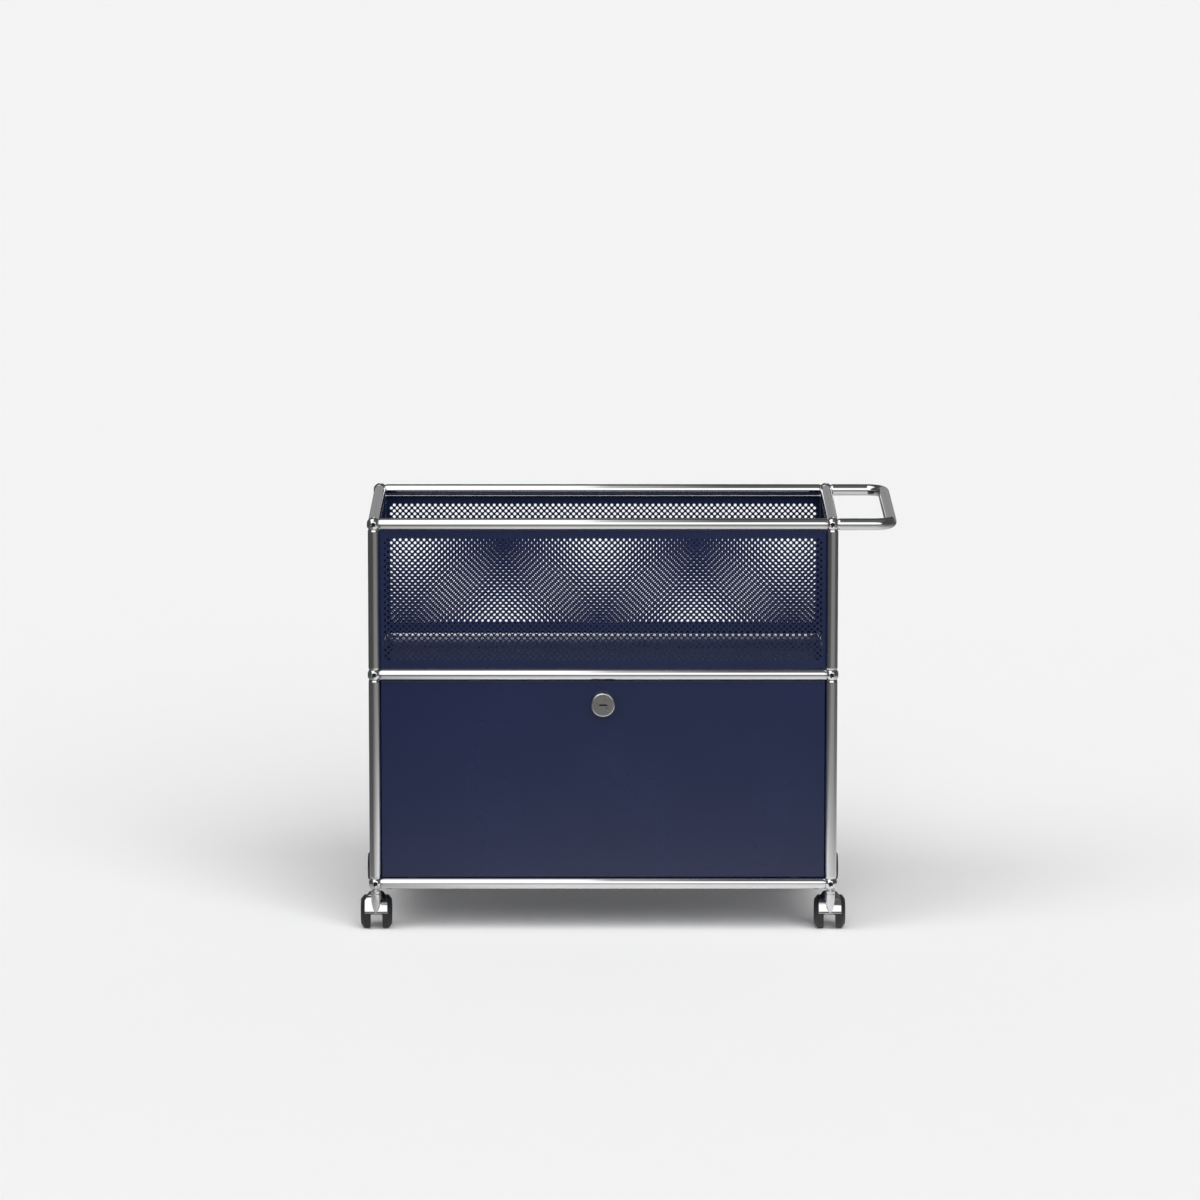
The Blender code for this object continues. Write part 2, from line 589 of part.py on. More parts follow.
def swept_hood(name, section, start, end):
    """Ring of hood from a section of (x, radius) points, carried round the axle."""
    bm = bmesh.new()
    steps = max(1, round((end - start) / HOOD_STEP))
    rings = []
    for step in range(steps + 1):
        angle = math.radians(180.0 - (start + (end - start) * step / steps))
        rings.append([bm.verts.new((x, CASTER_TRAIL + radius * math.cos(angle),
                                    -AXLE_DROP + radius * math.sin(angle))) for x, radius in section])
    count = len(section)
    for first, second in zip(rings, rings[1:]):
        for index in range(count):
            following = (index + 1) % count
            bm.faces.new((first[index], first[following], second[following], second[index]))
    bm.faces.new(rings[0])
    bm.faces.new(rings[-1])
    return to_mesh(bm, name)


def fork_mesh():
    """Caster body seen from the ball centre above it: socket, neck, rib, web, hood, crown and axle."""
    top = -(COLLAR_TOP + COLLAR_HEIGHT + TOUCH_GAP)
    hood_inner = WHEEL_RADIUS + HOOD_GAP
    hood_outer = hood_inner + HOOD_THICKNESS
    crown_outer = hood_inner + CROWN_HEIGHT
    web_width = WHEEL_SPACING - 2 * WHEEL_SIDE_GAP
    axle = (CASTER_TRAIL, -AXLE_DROP)
    hood_middle = (hood_inner + hood_outer) / 2
    crown_middle = (hood_inner + crown_outer) / 2
    web = prism("fork", hood_arc(hood_middle, HOOD_SWEEP[0], CROWN_SWEEP[0])
                + hood_arc(crown_middle, *CROWN_SWEEP)
                + arc(axle, HUB_RADIUS, 0.0, -180.0, 6), web_width)
    shield = swept_hood("shield", [(-HOOD_WIDTH / 2, hood_inner), (HOOD_WIDTH / 2, hood_inner),
                                   (HOOD_WIDTH / 2, hood_outer), (-HOOD_WIDTH / 2, hood_outer)],
                        *HOOD_SWEEP)
    shoulder = (hood_inner + crown_outer) / 2
    crown = swept_hood("crown", [(-CROWN_WIDTH / 2, hood_inner), (CROWN_WIDTH / 2, hood_inner),
                                 (CROWN_WIDTH / 2, shoulder), (CROWN_TOP_WIDTH / 2, crown_outer),
                                 (-CROWN_TOP_WIDTH / 2, crown_outer), (-CROWN_WIDTH / 2, shoulder)],
                       *CROWN_SWEEP)
    straight_end = top - SOCKET_LENGTH
    point = straight_end - SOCKET_TAPER
    socket_radius = COLLAR_DIAMETER / 2
    socket = revolve("socket", [(0.0, top), (socket_radius, top), (socket_radius, straight_end),
                                (SOCKET_TIP_DIAMETER / 2, point), (0.0, point)], TUBE_SIDES)
    neck_top = -AXLE_DROP + crown_outer - TOUCH_GAP
    neck = box("neck", (-NECK_WIDTH / 2, 0.0, neck_top - NECK_HEIGHT),
               (NECK_WIDTH / 2, CASTER_TRAIL, neck_top))
    lip = hood_middle * math.sin(math.radians(HOOD_SWEEP[0])) + HOOD_THICKNESS
    rib = prism("rib", [(0.0, neck_top - NECK_HEIGHT / 2), (CASTER_TRAIL, neck_top - NECK_HEIGHT / 2),
                        (CASTER_TRAIL, -AXLE_DROP + HUB_RADIUS),
                        (CASTER_TRAIL - hood_middle, -AXLE_DROP + lip),
                        (0.0, point + HOOD_THICKNESS)], RIB_WIDTH)
    reach = WHEEL_SPACING / 2 + WHEEL_BORE_DEPTH - END_GAP
    pin = AXLE_DIAMETER / 2
    axle_rod = revolve("axle", [(0.0, -reach), (pin, -reach), (pin, reach), (0.0, reach)], PIN_SIDES)
    axle_rod = moved(axle_rod, Matrix.Translation((0.0, *axle)) @ Matrix.Rotation(math.pi / 2, 4, "Y"))
    body = combine(web, [shield, crown, rib, neck, socket, axle_rod], "UNION")
    stem = round_out(STEM_DIAMETER / 2 + TOUCH_GAP, TUBE_SIDES)
    bore_end = -(COLLAR_TOP + COLLAR_HEIGHT + STEM_LENGTH + END_GAP)
    bore = revolve("bore", [(0.0, 0.0), (stem, 0.0), (stem, bore_end), (0.0, bore_end)], TUBE_SIDES)
    return combine(body, [bore], "DIFFERENCE")


def wheel_mesh():
    """Wheel on the +X side of the fork, seen from the middle of the axle, with a flat of its tread down."""
    inner = WHEEL_SPACING / 2
    outer = inner + WHEEL_WIDTH
    bore = round_out(AXLE_DIAMETER / 2 + TOUCH_GAP, WHEEL_SIDES)
    tread = round_out(WHEEL_RADIUS, WHEEL_SIDES)
    bore_end = inner + WHEEL_BORE_DEPTH
    profile = [(0.0, bore_end), (bore, bore_end), (bore, inner), (tread - WHEEL_INNER_CHAMFER, inner),
               (tread, inner + WHEEL_INNER_CHAMFER), (tread, outer - WHEEL_CHAMFER),
               (tread - WHEEL_CHAMFER, outer), (0.0, outer)]
    turned = revolve("wheel", profile, WHEEL_SIDES)
    flat_down = Matrix.Rotation(math.pi / WHEEL_SIDES, 4, "Z")
    return moved(turned, Matrix.Rotation(math.pi / 2, 4, "Y") @ flat_down)


def build_casters(root, chrome, rubber):
    """Four swivelling casters that trail backwards; returns their swivel axes by name."""
    fork = fork_mesh()
    wheel = wheel_mesh()
    swivels = {}
    for front, y_sign in (("front", -1), ("back", 1)):
        for side, x_sign in (("left", -1), ("right", 1)):
            name = f"caster_{front}_{side}"
            swivel = empty(f"{name}_swivel", root, (x_sign * HALF_WIDTH, y_sign * HALF_DEPTH, 0.0))
            place(f"{name}_fork", fork, chrome, swivel)
            axle = (0.0, CASTER_TRAIL, -AXLE_DROP)
            place(f"{name}_wheel_left", wheel, rubber, swivel, axle, math.pi)
            place(f"{name}_wheel_right", wheel, rubber, swivel, axle)
            swivels[name] = swivel
    return swivels


def main():
    clear_scene()
    chrome = finish("chrome", (0.78, 0.78, 0.79), 0.06, 1.0)
    paint = finish("steel_blue_powder_coat", (0.020, 0.026, 0.065), 0.32, 0.0)
    steel = finish("zinc_plated_steel", (0.55, 0.55, 0.56), 0.35, 1.0)
    satin = finish("satin_nickel", (0.42, 0.43, 0.42), 0.38, 1.0)
    rubber = finish("wheel_plastic", (0.035, 0.035, 0.037), 0.5, 0.0)
    root = empty("trolley", None, ORIGIN_SHIFT)
    build_frame(root, chrome)
    build_panels(root, paint)
    door_axis, lock_axis = build_door(root, paint, steel, satin)
    swivels = build_casters(root, chrome, rubber)
    bpy.context.view_layer.update()
    for marker in [door_axis, lock_axis, *swivels.values()]:
        print(marker.name, [round(value, 6) for value in marker.matrix_world.translation])


main()
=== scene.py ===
# %% [markdown]
# Media trolley, dressed for its picture.
# The solids that come with the frame already have the right sizes and places.
# This lesson gives them the surfaces that a customer sees: polished tubes and balls, folded
# sheet with thousands of punched holes, a turned lock and casters with rolling wheels.
# Each shape is a formula worked out on whole arrays, so a size can be changed in one place.

# %% Load the frame
import json
import math

import bmesh
import bpy
import numpy as np
from mathutils import Matrix, Vector


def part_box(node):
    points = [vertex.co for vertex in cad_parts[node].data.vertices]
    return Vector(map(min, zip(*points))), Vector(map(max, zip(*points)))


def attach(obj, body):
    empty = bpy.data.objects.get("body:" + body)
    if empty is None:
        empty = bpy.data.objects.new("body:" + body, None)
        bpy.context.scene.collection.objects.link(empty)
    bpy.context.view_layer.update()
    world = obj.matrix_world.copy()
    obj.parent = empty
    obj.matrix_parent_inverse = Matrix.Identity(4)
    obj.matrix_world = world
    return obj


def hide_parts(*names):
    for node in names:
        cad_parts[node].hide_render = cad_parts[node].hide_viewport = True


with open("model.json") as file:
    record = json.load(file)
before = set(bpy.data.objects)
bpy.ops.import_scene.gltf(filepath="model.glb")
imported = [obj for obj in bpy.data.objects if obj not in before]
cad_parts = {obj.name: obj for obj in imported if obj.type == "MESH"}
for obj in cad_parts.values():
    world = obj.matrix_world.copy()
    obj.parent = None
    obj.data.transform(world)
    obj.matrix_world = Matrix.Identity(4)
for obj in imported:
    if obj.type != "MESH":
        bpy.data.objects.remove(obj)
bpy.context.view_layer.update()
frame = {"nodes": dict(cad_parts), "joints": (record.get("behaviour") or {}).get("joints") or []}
nodes = frame["nodes"]
joints = {joint["name"]: joint for joint in frame["joints"]}

# %% [markdown]
# Measure before modelling.
# The tubes' centre lines meet in the twelve balls, and every other piece hangs on that grid.
# Reading the grid from the frame's own tubes keeps each new surface exactly where its solid is.

# %% Measure the tube grid
def middle(node):
    """Middle of a node's box."""
    low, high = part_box(node)
    return (np.array(low) + np.array(high)) / 2


def extent(node):
    """Size of a node's box along X, Y and Z."""
    low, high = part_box(node)
    return np.array(high) - np.array(low)


SIDES = ("left", "right")
DEPTHS = ("front", "back")
LEVELS = ("bottom", "middle", "top")
grid_x = {side: middle(f"post_front_{side}_lower")[0] for side in SIDES}
grid_y = {depth: middle(f"post_{depth}_left_lower")[1] for depth in DEPTHS}
grid_z = {level: middle(f"tube_front_{level}")[2] for level in LEVELS}
tube_radius = extent("tube_front_top")[2] / 2
print("tube radius", round(float(tube_radius), 5))
for direction, lines in (("x", grid_x), ("y", grid_y), ("z", grid_z)):
    print("grid", direction, {name: round(float(value), 4) for name, value in lines.items()})

# %% [markdown]
# Every surface here starts as a grid of points.
# A mesh can be built point by point, with modifiers, or from whole arrays of corners.
# Arrays are chosen because the punched panels have about a quarter of a million corners.  A
# shell is a pair: its points, and its faces as arrays of point numbers.

# %% Grids and meshes
def grid_faces(rows, columns, wrap_rows=False, wrap_columns=False, first=0):
    """Quads of a grid of points: point (i, j) is number first + i * columns + j, and each quad joins
    (i, j), (i, j + 1), (i + 1, j + 1) and (i + 1, j), counted round where the grid wraps."""
    i = np.arange(rows if wrap_rows else rows - 1)[:, None]
    j = np.arange(columns if wrap_columns else columns - 1)[None, :]
    below, beside = (i + 1) % rows, (j + 1) % columns
    corners = [i * columns + j, i * columns + beside, below * columns + beside, below * columns + j]
    return first + np.stack([corner + 0 * i + 0 * j for corner in corners], -1).reshape(-1, 4)


def fill_mesh(mesh, points, face_groups):
    """Writes points and faces into a mesh; each group holds faces with one number of corners."""
    sizes = np.concatenate([np.full(len(faces), faces.shape[1]) for faces in face_groups])
    loops = np.concatenate([faces.ravel() for faces in face_groups]).astype(np.int32)
    mesh.vertices.add(len(points))
    mesh.vertices.foreach_set("co", np.asarray(points, np.float32).ravel())
    mesh.loops.add(len(loops))
    mesh.loops.foreach_set("vertex_index", loops)
    mesh.polygons.add(len(sizes))
    mesh.polygons.foreach_set("loop_start", (np.cumsum(sizes) - sizes).astype(np.int32))
    mesh.update(calc_edges=True)
    mesh.validate()


def join_shells(*shells):
    """Several (points, face groups) as one: a shell's corner numbers move up by the points before it."""
    points, groups, count = [], [], 0
    for shell_points, shell_groups in shells:
        points.append(shell_points)
        groups += [faces + count for faces in shell_groups]
        count += len(shell_points)
    return np.concatenate(points), groups


def placed(shell, matrix):
    """A shell after its points went through a 4 x 4 matrix."""
    points, face_groups = shell
    moved = points @ np.array(matrix.to_3x3()).T + np.array(matrix.translation)
    return moved, face_groups


print("a wrapped grid of 3 x 4 points has", len(grid_faces(3, 4, wrap_columns=True)), "faces")

# %% [markdown]
# One helper turns a shell into a piece of the trolley.
# It welds the points where a surface closes on itself, turns the faces outwards, and keeps real
# edges crisp while round faces shade smoothly.  Then it hangs the piece on the body it moves with,
# hides the solids that it stands for, and gives it its finish.

# %% Shells to pieces
CRISP_ANGLE = math.radians(32.0)
WELD = 0.000002               # metres within which two points are one


def new_piece(name, shell, material, body, stands_for=(), crisp=CRISP_ANGLE):
    """A piece of the trolley from (points, face groups), riding on a body, in place of some solids."""
    points, face_groups = shell
    mesh = bpy.data.meshes.new(name)
    fill_mesh(mesh, points, face_groups)
    bm = bmesh.new()
    bm.from_mesh(mesh)
    bmesh.ops.remove_doubles(bm, verts=bm.verts, dist=WELD)
    bmesh.ops.dissolve_degenerate(bm, edges=bm.edges, dist=WELD / 2)
    bmesh.ops.recalc_face_normals(bm, faces=bm.faces)
    bm.to_mesh(mesh)
    bm.free()
    mesh.shade_smooth()
    mesh.set_sharp_from_angle(angle=crisp)
    mesh.materials.append(material)
    piece = bpy.data.objects.new(name, mesh)
    bpy.context.collection.objects.link(piece)
    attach(piece, body)
    if stands_for:
        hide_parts(*stands_for)
    return piece


def refinish(piece, material, inside):
    """Second finish on the faces whose middles pass a test on an array of points."""
    mesh = piece.data
    middles = np.empty(len(mesh.polygons) * 3, np.float32)
    mesh.polygons.foreach_get("center", middles)
    mesh.materials.append(material)
    mesh.polygons.foreach_set("material_index", inside(middles.reshape(-1, 3)).astype(np.int32))
    mesh.update()


# %% [markdown]
# The camera stands where the photograph was taken from.
# A camera can be placed by eye, but then no size can be compared.  This one was solved from the
# ball joints' places in the picture: a long lens, 11.4 m away, looking slightly down.  So far away
# the upright tubes stay parallel.

# %% Camera
SENSOR = 36.0                 # millimetres
PICTURE_WIDTH = 1200.0        # pixels
FOCAL_PIXELS = 6876.58
CAMERA_DISTANCE = 11.43099
CAMERA_PITCH = 0.177189       # radians below the horizon
AIM_FROM_MIDDLE = -0.004975   # aim's x from the middle between the posts
AIM_HEIGHT = 0.44284          # aim above the lowest tubes' centre lines

frame_middle = np.array([sum(grid_x.values()) / 2, sum(grid_y.values()) / 2, grid_z["bottom"]])
aim = Vector(frame_middle) + Vector((AIM_FROM_MIDDLE, 0.0, AIM_HEIGHT))
look = Vector((0.0, math.cos(CAMERA_PITCH), -math.sin(CAMERA_PITCH)))
lens = bpy.data.cameras.new("camera")
lens.sensor_width = SENSOR
lens.lens = FOCAL_PIXELS / PICTURE_WIDTH * SENSOR
lens.clip_end = 200.0
camera = bpy.data.objects.new("camera", lens)
bpy.context.collection.objects.link(camera)
camera.location = aim - look * CAMERA_DISTANCE
camera.rotation_euler = (math.pi / 2 - CAMERA_PITCH, 0.0, 0.0)
bpy.context.scene.camera = camera
print("camera at", [round(value, 4) for value in camera.location])

# %% [markdown]
# Five finishes cover the outside of the trolley: bright chrome, powder coat, satin nickel,
# zinc painted dark grey as shade, and moulded plastic.  A sixth, dull and dark, is painted shade for the
# insides of holes.
# A finish could be one flat colour, but a real surface varies a little from place to place, and
# that is what makes it look real.  So each finish is a small tree of nodes.  Trees can be drawn
# by hand in the editor, but written down they can be read, and one class saves the wiring.

# %% Node trees
class Nodes:
    """A tree of nodes that are added one by one; a value is a socket, a number or some numbers."""

    def __init__(self, tree):
        self.tree = tree

    def add(self, kind, **settings):
        """A node of a kind, with its settings."""
        node = self.tree.nodes.new(kind)
        for key, value in settings.items():
            setattr(node, key, value)
        return node

    def feed(self, target, value):
        """Wires a socket to another one, or sets it to a number or a list of numbers."""
        if isinstance(value, bpy.types.NodeSocket):
            self.tree.links.new(value, target)
        else:
            target.default_value = value

    def place(self):
        """Object coordinates, in metres."""
        return self.add("ShaderNodeTexCoord").outputs["Object"]

    def parts(self, vector):
        """The X, Y and Z of a vector."""
        split = self.add("ShaderNodeSeparateXYZ")
        self.feed(split.inputs["Vector"], vector)
        return [split.outputs[axis] for axis in "XYZ"]

    def length(self, vector):
        """Length of a vector: the root of its squares' sum."""
        node = self.add("ShaderNodeVectorMath", operation="LENGTH")
        self.feed(node.inputs[0], vector)
        return node.outputs["Value"]

    def number(self, operation, first, second):
        """Result of one sum, product, quotient, power or the like."""
        node = self.add("ShaderNodeMath", operation=operation)
        self.feed(node.inputs[0], first)
        self.feed(node.inputs[1], second)
        return node.outputs["Value"]

    def spread(self, factor, low, high, start=0.15, end=0.85, kind="LINEAR"):
        """A value that goes from low to high as the factor goes from start to end."""
        ramp = self.add("ShaderNodeMapRange", interpolation_type=kind)
        for socket, value in (("Value", factor), ("From Min", start), ("From Max", end),
                              ("To Min", low), ("To Max", high)):
            self.feed(ramp.inputs[socket], value)
        return ramp.outputs["Result"]

    def fade(self, factor, start, end, low, high):
        """The same with a soft start and end: from low to high as the factor goes from start to end."""
        return self.spread(factor, low, high, start, end, "SMOOTHSTEP")

    def mix_shaders(self, share, first, second, output):
        """Shows the first shader where a share is 0, the second where it is 1, and a mix between."""
        mix = self.add("ShaderNodeMixShader")
        for socket, value in zip(mix.inputs, (share, first, second)):
            self.feed(socket, value)
        self.feed(output.inputs["Surface"], mix.outputs["Shader"])


# %% [markdown]
# A finish is a tree that ends in the Principled shader.
# Its noise reads Object coordinates, which are metres on these pieces, so a grain has its real
# size wherever a piece lies.  What is the same all over is set on the shader's own socket.

# %% Surface finishes
class Finish(Nodes):
    """A material with a Principled shader and the nodes that feed its sockets."""

    def __init__(self, name):
        self.material = bpy.data.materials.new(name)
        self.material.use_nodes = True
        super().__init__(self.material.node_tree)
        self.shader = self.tree.nodes["Principled BSDF"]

    def set(self, socket, value):
        """Feeds one of the shader's own sockets."""
        self.feed(self.shader.inputs[socket], value)

    def noise(self, scale, detail=2.0):
        """Noise in Object coordinates, with so many blotches per metre."""
        texture = self.add("ShaderNodeTexNoise")
        for socket, value in (("Vector", self.place()), ("Scale", scale), ("Detail", detail)):
            self.feed(texture.inputs[socket], value)
        return texture.outputs["Fac"]

    def tint(self, factor, first, second):
        """A colour between two, by a factor."""
        ramp = self.add("ShaderNodeValToRGB")
        for element, colour in zip(ramp.color_ramp.elements, (first, second)):
            element.color = (*colour, 1.0)
        self.feed(ramp.inputs["Fac"], factor)
        return ramp.outputs["Color"]

    def blend(self, factor, colour, other):
        """A colour socket that turns into another, fixed colour as the factor goes from 0 to 1."""
        mix = self.add("ShaderNodeMix", data_type="RGBA")
        socket = {socket.identifier: socket for socket in (*mix.inputs, *mix.outputs)}
        self.feed(mix.inputs["Factor"], factor)
        self.feed(socket["A_Color"], colour)
        self.feed(socket["B_Color"], (*other, 1.0))
        return socket["Result_Color"]

    def relief(self, height, depth, strength):
        """Bumps of a depth in metres on the shader's normal."""
        bump = self.add("ShaderNodeBump")
        for socket, value in (("Height", height), ("Distance", depth), ("Strength", strength)):
            self.feed(bump.inputs[socket], value)
        self.set("Normal", bump.outputs["Normal"])


# %% [markdown]
# Chrome plate covers the tubes, balls, handle and casters.
# A perfect mirror would do, but it looks like a drawing of chrome.  Wiping leaves faint marks a
# few centimetres long, so both the brightness and the sharpness of the mirror follow them, and a
# shallow relief bends the reflections a little, as polished steel does under its plating.

# %% Chrome
CHROME_COLOURS = ((0.80, 0.80, 0.81), (0.86, 0.86, 0.865))
CHROME_ROUGHNESS = (0.03, 0.07)


def make_chrome():
    """Bright chrome plate: colour and roughness follow faint wiping marks."""
    finish = Finish("bright_chrome")
    finish.set("Metallic", 1.0)
    marks = finish.noise(26.0, detail=4.0)
    finish.set("Base Color", finish.tint(marks, *CHROME_COLOURS))
    finish.set("Roughness", finish.spread(marks, *CHROME_ROUGHNESS))
    finish.relief(finish.noise(140.0), depth=0.00001, strength=0.25)
    return finish.material


chrome = make_chrome()
print("chrome roughness", CHROME_ROUGHNESS)

# %% [markdown]
# Plating hardly reaches the inside of a tapped hole or a narrow slot, so the steel there is bare.
# Its near-black colour is painted shade for these recesses.  A black material would hide the thread's shape,
# but this one still catches a little light on the crests, so the holes keep their depth.

# %% Bare thread with painted shade
RECESS_SHADE_COLOURS = ((0.010, 0.010, 0.010), (0.030, 0.029, 0.027))
THREAD_ROUGHNESS = (0.55, 0.75)


def make_painted_recess_shade():
    """Dull steel, painted dark as shade inside holes, uneven by about a millimetre."""
    finish = Finish("painted_recess_shade")
    finish.set("Metallic", 0.6)
    recess_tone = finish.noise(900.0)
    finish.set("Base Color", finish.tint(recess_tone, *RECESS_SHADE_COLOURS))
    finish.set("Roughness", finish.spread(recess_tone, *THREAD_ROUGHNESS))
    return finish.material


painted_recess_shade = make_painted_recess_shade()
print("thread colours", RECESS_SHADE_COLOURS)

# %% [markdown]
# Powder coat is a paint that is sprayed on as dust and baked.
# It melts into a skin like very fine orange peel, which a bump a millimetre across gives.  The
# paint is a dielectric, not a metal: it is the mirror image of the room in its gloss that makes
# the dark blue look paler towards the floor.

# %% Powder coat
PAINT_COLOURS = ((0.0030, 0.0073, 0.0318), (0.0044, 0.0097, 0.0418))
PAINT_ROUGHNESS = (0.19, 0.25)


def make_powder_coat():
    """Semi-gloss steel blue: fine orange peel and a faint cloudiness as wide as a hand."""
    finish = Finish("powder_coat")
    finish.set("Specular IOR Level", 0.6)
    clouds = finish.noise(7.0)
    finish.set("Base Color", finish.tint(clouds, *PAINT_COLOURS))
    finish.set("Roughness", finish.spread(clouds, *PAINT_ROUGHNESS))
    finish.relief(finish.noise(950.0), depth=0.00003, strength=0.22)
    return finish.material


powder_coat = make_powder_coat()
print("paint roughness", PAINT_ROUGHNESS)

# %% [markdown]
# The lock is turned from satin nickel, with a polished rim.
# Brushed metal could be faked by anisotropy, but the lathe leaves real rings round the lock's
# axis.  A wave texture draws them once the coordinates are centred on the knob and flattened
# along its axis, and the distance from that axis also tells the satin face from the rim.

# %% Satin nickel
KNOB_SOFT_EDGE = 0.0026
KNOB_BLEND = 0.0006           # width over which satin turns into polish
SATIN_COLOURS = ((0.36, 0.365, 0.35), (0.42, 0.425, 0.41))
SATIN_ROUGHNESS = (0.24, 0.34)
RIM_COLOUR = (0.66, 0.66, 0.67)
RIM_ROUGHNESS = 0.12
RING_SCALE = 800.0            # the wave texture's scale, for fine turning marks
RING_WOBBLE = 1.2


def make_satin_nickel():
    """Turned nickel: rings round the lock's axis, which runs along Y, and a polished rim outside
    them, from the distance to the axis: the root of x squared and z squared."""
    finish = Finish("turned_nickel")
    finish.set("Metallic", 1.0)
    centre = middle("lock_knob")
    face_edge = extent("lock_knob")[0] / 2 - KNOB_SOFT_EDGE
    offset = finish.add("ShaderNodeMapping")
    for socket, value in (("Vector", finish.place()), ("Location", (-centre[0], 0.0, -centre[2])),
                          ("Scale", (1.0, 0.0, 1.0))):
        finish.feed(offset.inputs[socket], value)
    level = offset.outputs["Vector"]
    rings = finish.add("ShaderNodeTexWave", wave_type="RINGS", rings_direction="SPHERICAL")
    for socket, value in (("Vector", level), ("Scale", RING_SCALE), ("Distortion", RING_WOBBLE)):
        finish.feed(rings.inputs[socket], value)
    rim = finish.spread(finish.length(level), 0.0, 1.0, face_edge - KNOB_BLEND, face_edge)
    mottle = finish.noise(300.0, detail=3.0)
    satin = finish.tint(mottle, *SATIN_COLOURS)
    finish.set("Base Color", finish.blend(rim, satin, RIM_COLOUR))
    rough = finish.spread(mottle, *SATIN_ROUGHNESS)
    finish.set("Roughness", finish.spread(rim, rough, RIM_ROUGHNESS, 0.0, 1.0))
    finish.relief(rings.outputs["Fac"], depth=0.000008, strength=0.4)
    return finish.material


satin_nickel = make_satin_nickel()
print("knob's face ends", round(extent("lock_knob")[0] / 2 - KNOB_SOFT_EDGE, 4), "from its axis")

# %% [markdown]
# The hinges and the lock's cam are small pressed parts of zinc-plated steel.
# Plain zinc is pale and would draw a bright dash in the narrow gap under the door, which lies in shade.
# So the zinc is painted dark grey as shade, with the soft spangle of the zinc still in it.

# %% Zinc painted dark as shade
SHADED_ZINC_COLOURS = ((0.045, 0.046, 0.048), (0.065, 0.065, 0.064))
ZINC_ROUGHNESS = (0.28, 0.42)


def make_shaded_zinc():
    """Zinc painted dark grey as shade under the door, with a soft spangle of a few millimetres."""
    finish = Finish("zinc_painted_shade")
    finish.set("Metallic", 1.0)
    spangle = finish.noise(420.0, detail=3.0)
    finish.set("Base Color", finish.tint(spangle, *SHADED_ZINC_COLOURS))
    finish.set("Roughness", finish.spread(spangle, *ZINC_ROUGHNESS))
    finish.relief(spangle, depth=0.00001, strength=0.3)
    return finish.material


shaded_zinc = make_shaded_zinc()
print("zinc colours", SHADED_ZINC_COLOURS)

# %% [markdown]
# The wheels are moulded in dark plastic.
# The mould is spark-eroded, which leaves a fine grain on the plastic, half a millimetre across.
# One noise drives colour, roughness and relief together, so that the grain's low spots are also
# the dull ones.

# %% Wheel plastic
PLASTIC_COLOURS = ((0.008, 0.008, 0.0083), (0.015, 0.015, 0.0154))
PLASTIC_ROUGHNESS = (0.42, 0.56)


def make_wheel_plastic():
    """Dark moulded plastic with a fine grain, a little shinier where it is smooth."""
    finish = Finish("moulded_plastic")
    grain = finish.noise(2200.0)
    finish.set("Base Color", finish.tint(grain, *PLASTIC_COLOURS))
    finish.set("Roughness", finish.spread(grain, *PLASTIC_ROUGHNESS))
    finish.relief(grain, depth=0.00003, strength=0.3)
    return finish.material


wheel_plastic = make_wheel_plastic()

# %% [markdown]
# The tubes are surfaces of revolution.
# A cylinder primitive would do for the skin, but a real tube end is turned to a cone where it
# seats on its ball, and light catches that edge.  So the tube is a profile of radius against
# length, carried round the axis, out along the skin and back along the bore.

# %% Turned shapes
def turned(profile, sides, axis="Z"):
    """Surface of revolution: each (radius, height) of the profile goes round the axis, so point
    (i, j) is (r_i cos a_j, r_i sin a_j, h_i) with a_j = 2 pi j / sides; the profile's ends join."""
    profile = np.asarray(profile, float)
    radius, height = profile[:, 0][:, None], profile[:, 1][:, None]
    angle = np.linspace(0.0, math.tau, sides, endpoint=False)[None, :]
    x, y, z = radius * np.cos(angle), radius * np.sin(angle), height + 0 * angle
    ordered = {"Z": (x, y, z), "X": (z, x, y), "Y": (y, z, x)}[axis]
    points = np.stack(ordered, -1).reshape(-1, 3)
    open_profile = profile[0, 0] == 0.0 and profile[-1, 0] == 0.0
    return points, [grid_faces(len(profile), sides, wrap_rows=not open_profile, wrap_columns=True)]


def rounded_corner(centre, radius, start, end, steps):
    """Points on an arc round centre, from start to end in degrees: centre + radius (cos a, sin a)."""
    angle = np.radians(np.linspace(start, end, steps))
    return np.stack([centre[0] + radius * np.cos(angle), centre[1] + radius * np.sin(angle)], -1)


# %% Tubes
TUBE_WALL = 0.0015
TUBE_FACETS = 56
# How far the skin is drawn in, at a distance from the tube's end: seat, taper, bead, full width.
TUBE_END = np.array([(0.00110, 0.0), (0.00062, 0.00030), (0.00050, 0.0007), (0.00030, 0.0021),
                     (0.00020, 0.00245), (0.00006, 0.0028), (0.00001, 0.0032), (0.0, 0.0038), (0.0, 0.0060)])


def tube_profile(length):
    """(radius, height) of a tube from end to end, out along the skin and back along the bore."""
    bore = tube_radius - TUBE_WALL
    half = length / 2
    start = np.column_stack([tube_radius - TUBE_END[:, 0], TUBE_END[:, 1] - half])
    skin = np.concatenate([start, start[::-1] * (1.0, -1.0)])
    return np.concatenate([skin, [(bore, half), (bore, -half)]])


def make_tube(node, axis):
    """Tube as long as its node along an axis, on the node's centre line."""
    along = "XYZ".index(axis)
    shell = turned(tube_profile(extent(node)[along]), TUBE_FACETS, axis)
    return new_piece(f"{node}_skin", placed(shell, Matrix.Translation(middle(node))), chrome, "frame", [node])


tube_axes = {}
for level in LEVELS:
    tube_axes.update({f"tube_{depth}_{level}": "X" for depth in DEPTHS})
    tube_axes.update({f"tube_{side}_{level}": "Y" for side in SIDES})
for storey in ("lower", "upper"):
    tube_axes.update({f"post_{depth}_{side}_{storey}": "Z" for depth in DEPTHS for side in SIDES})
for node, axis in tube_axes.items():
    make_tube(node, axis)
print("tubes", len(tube_axes))

# %% [markdown]
# The push handle is the same tube bent twice.
# A curve object with a round bevel would give it too, but its ends would be cut square.
# Here a circle is carried along the centre line, and a few rings at each end make the same
# turned seat as on the straight tubes.

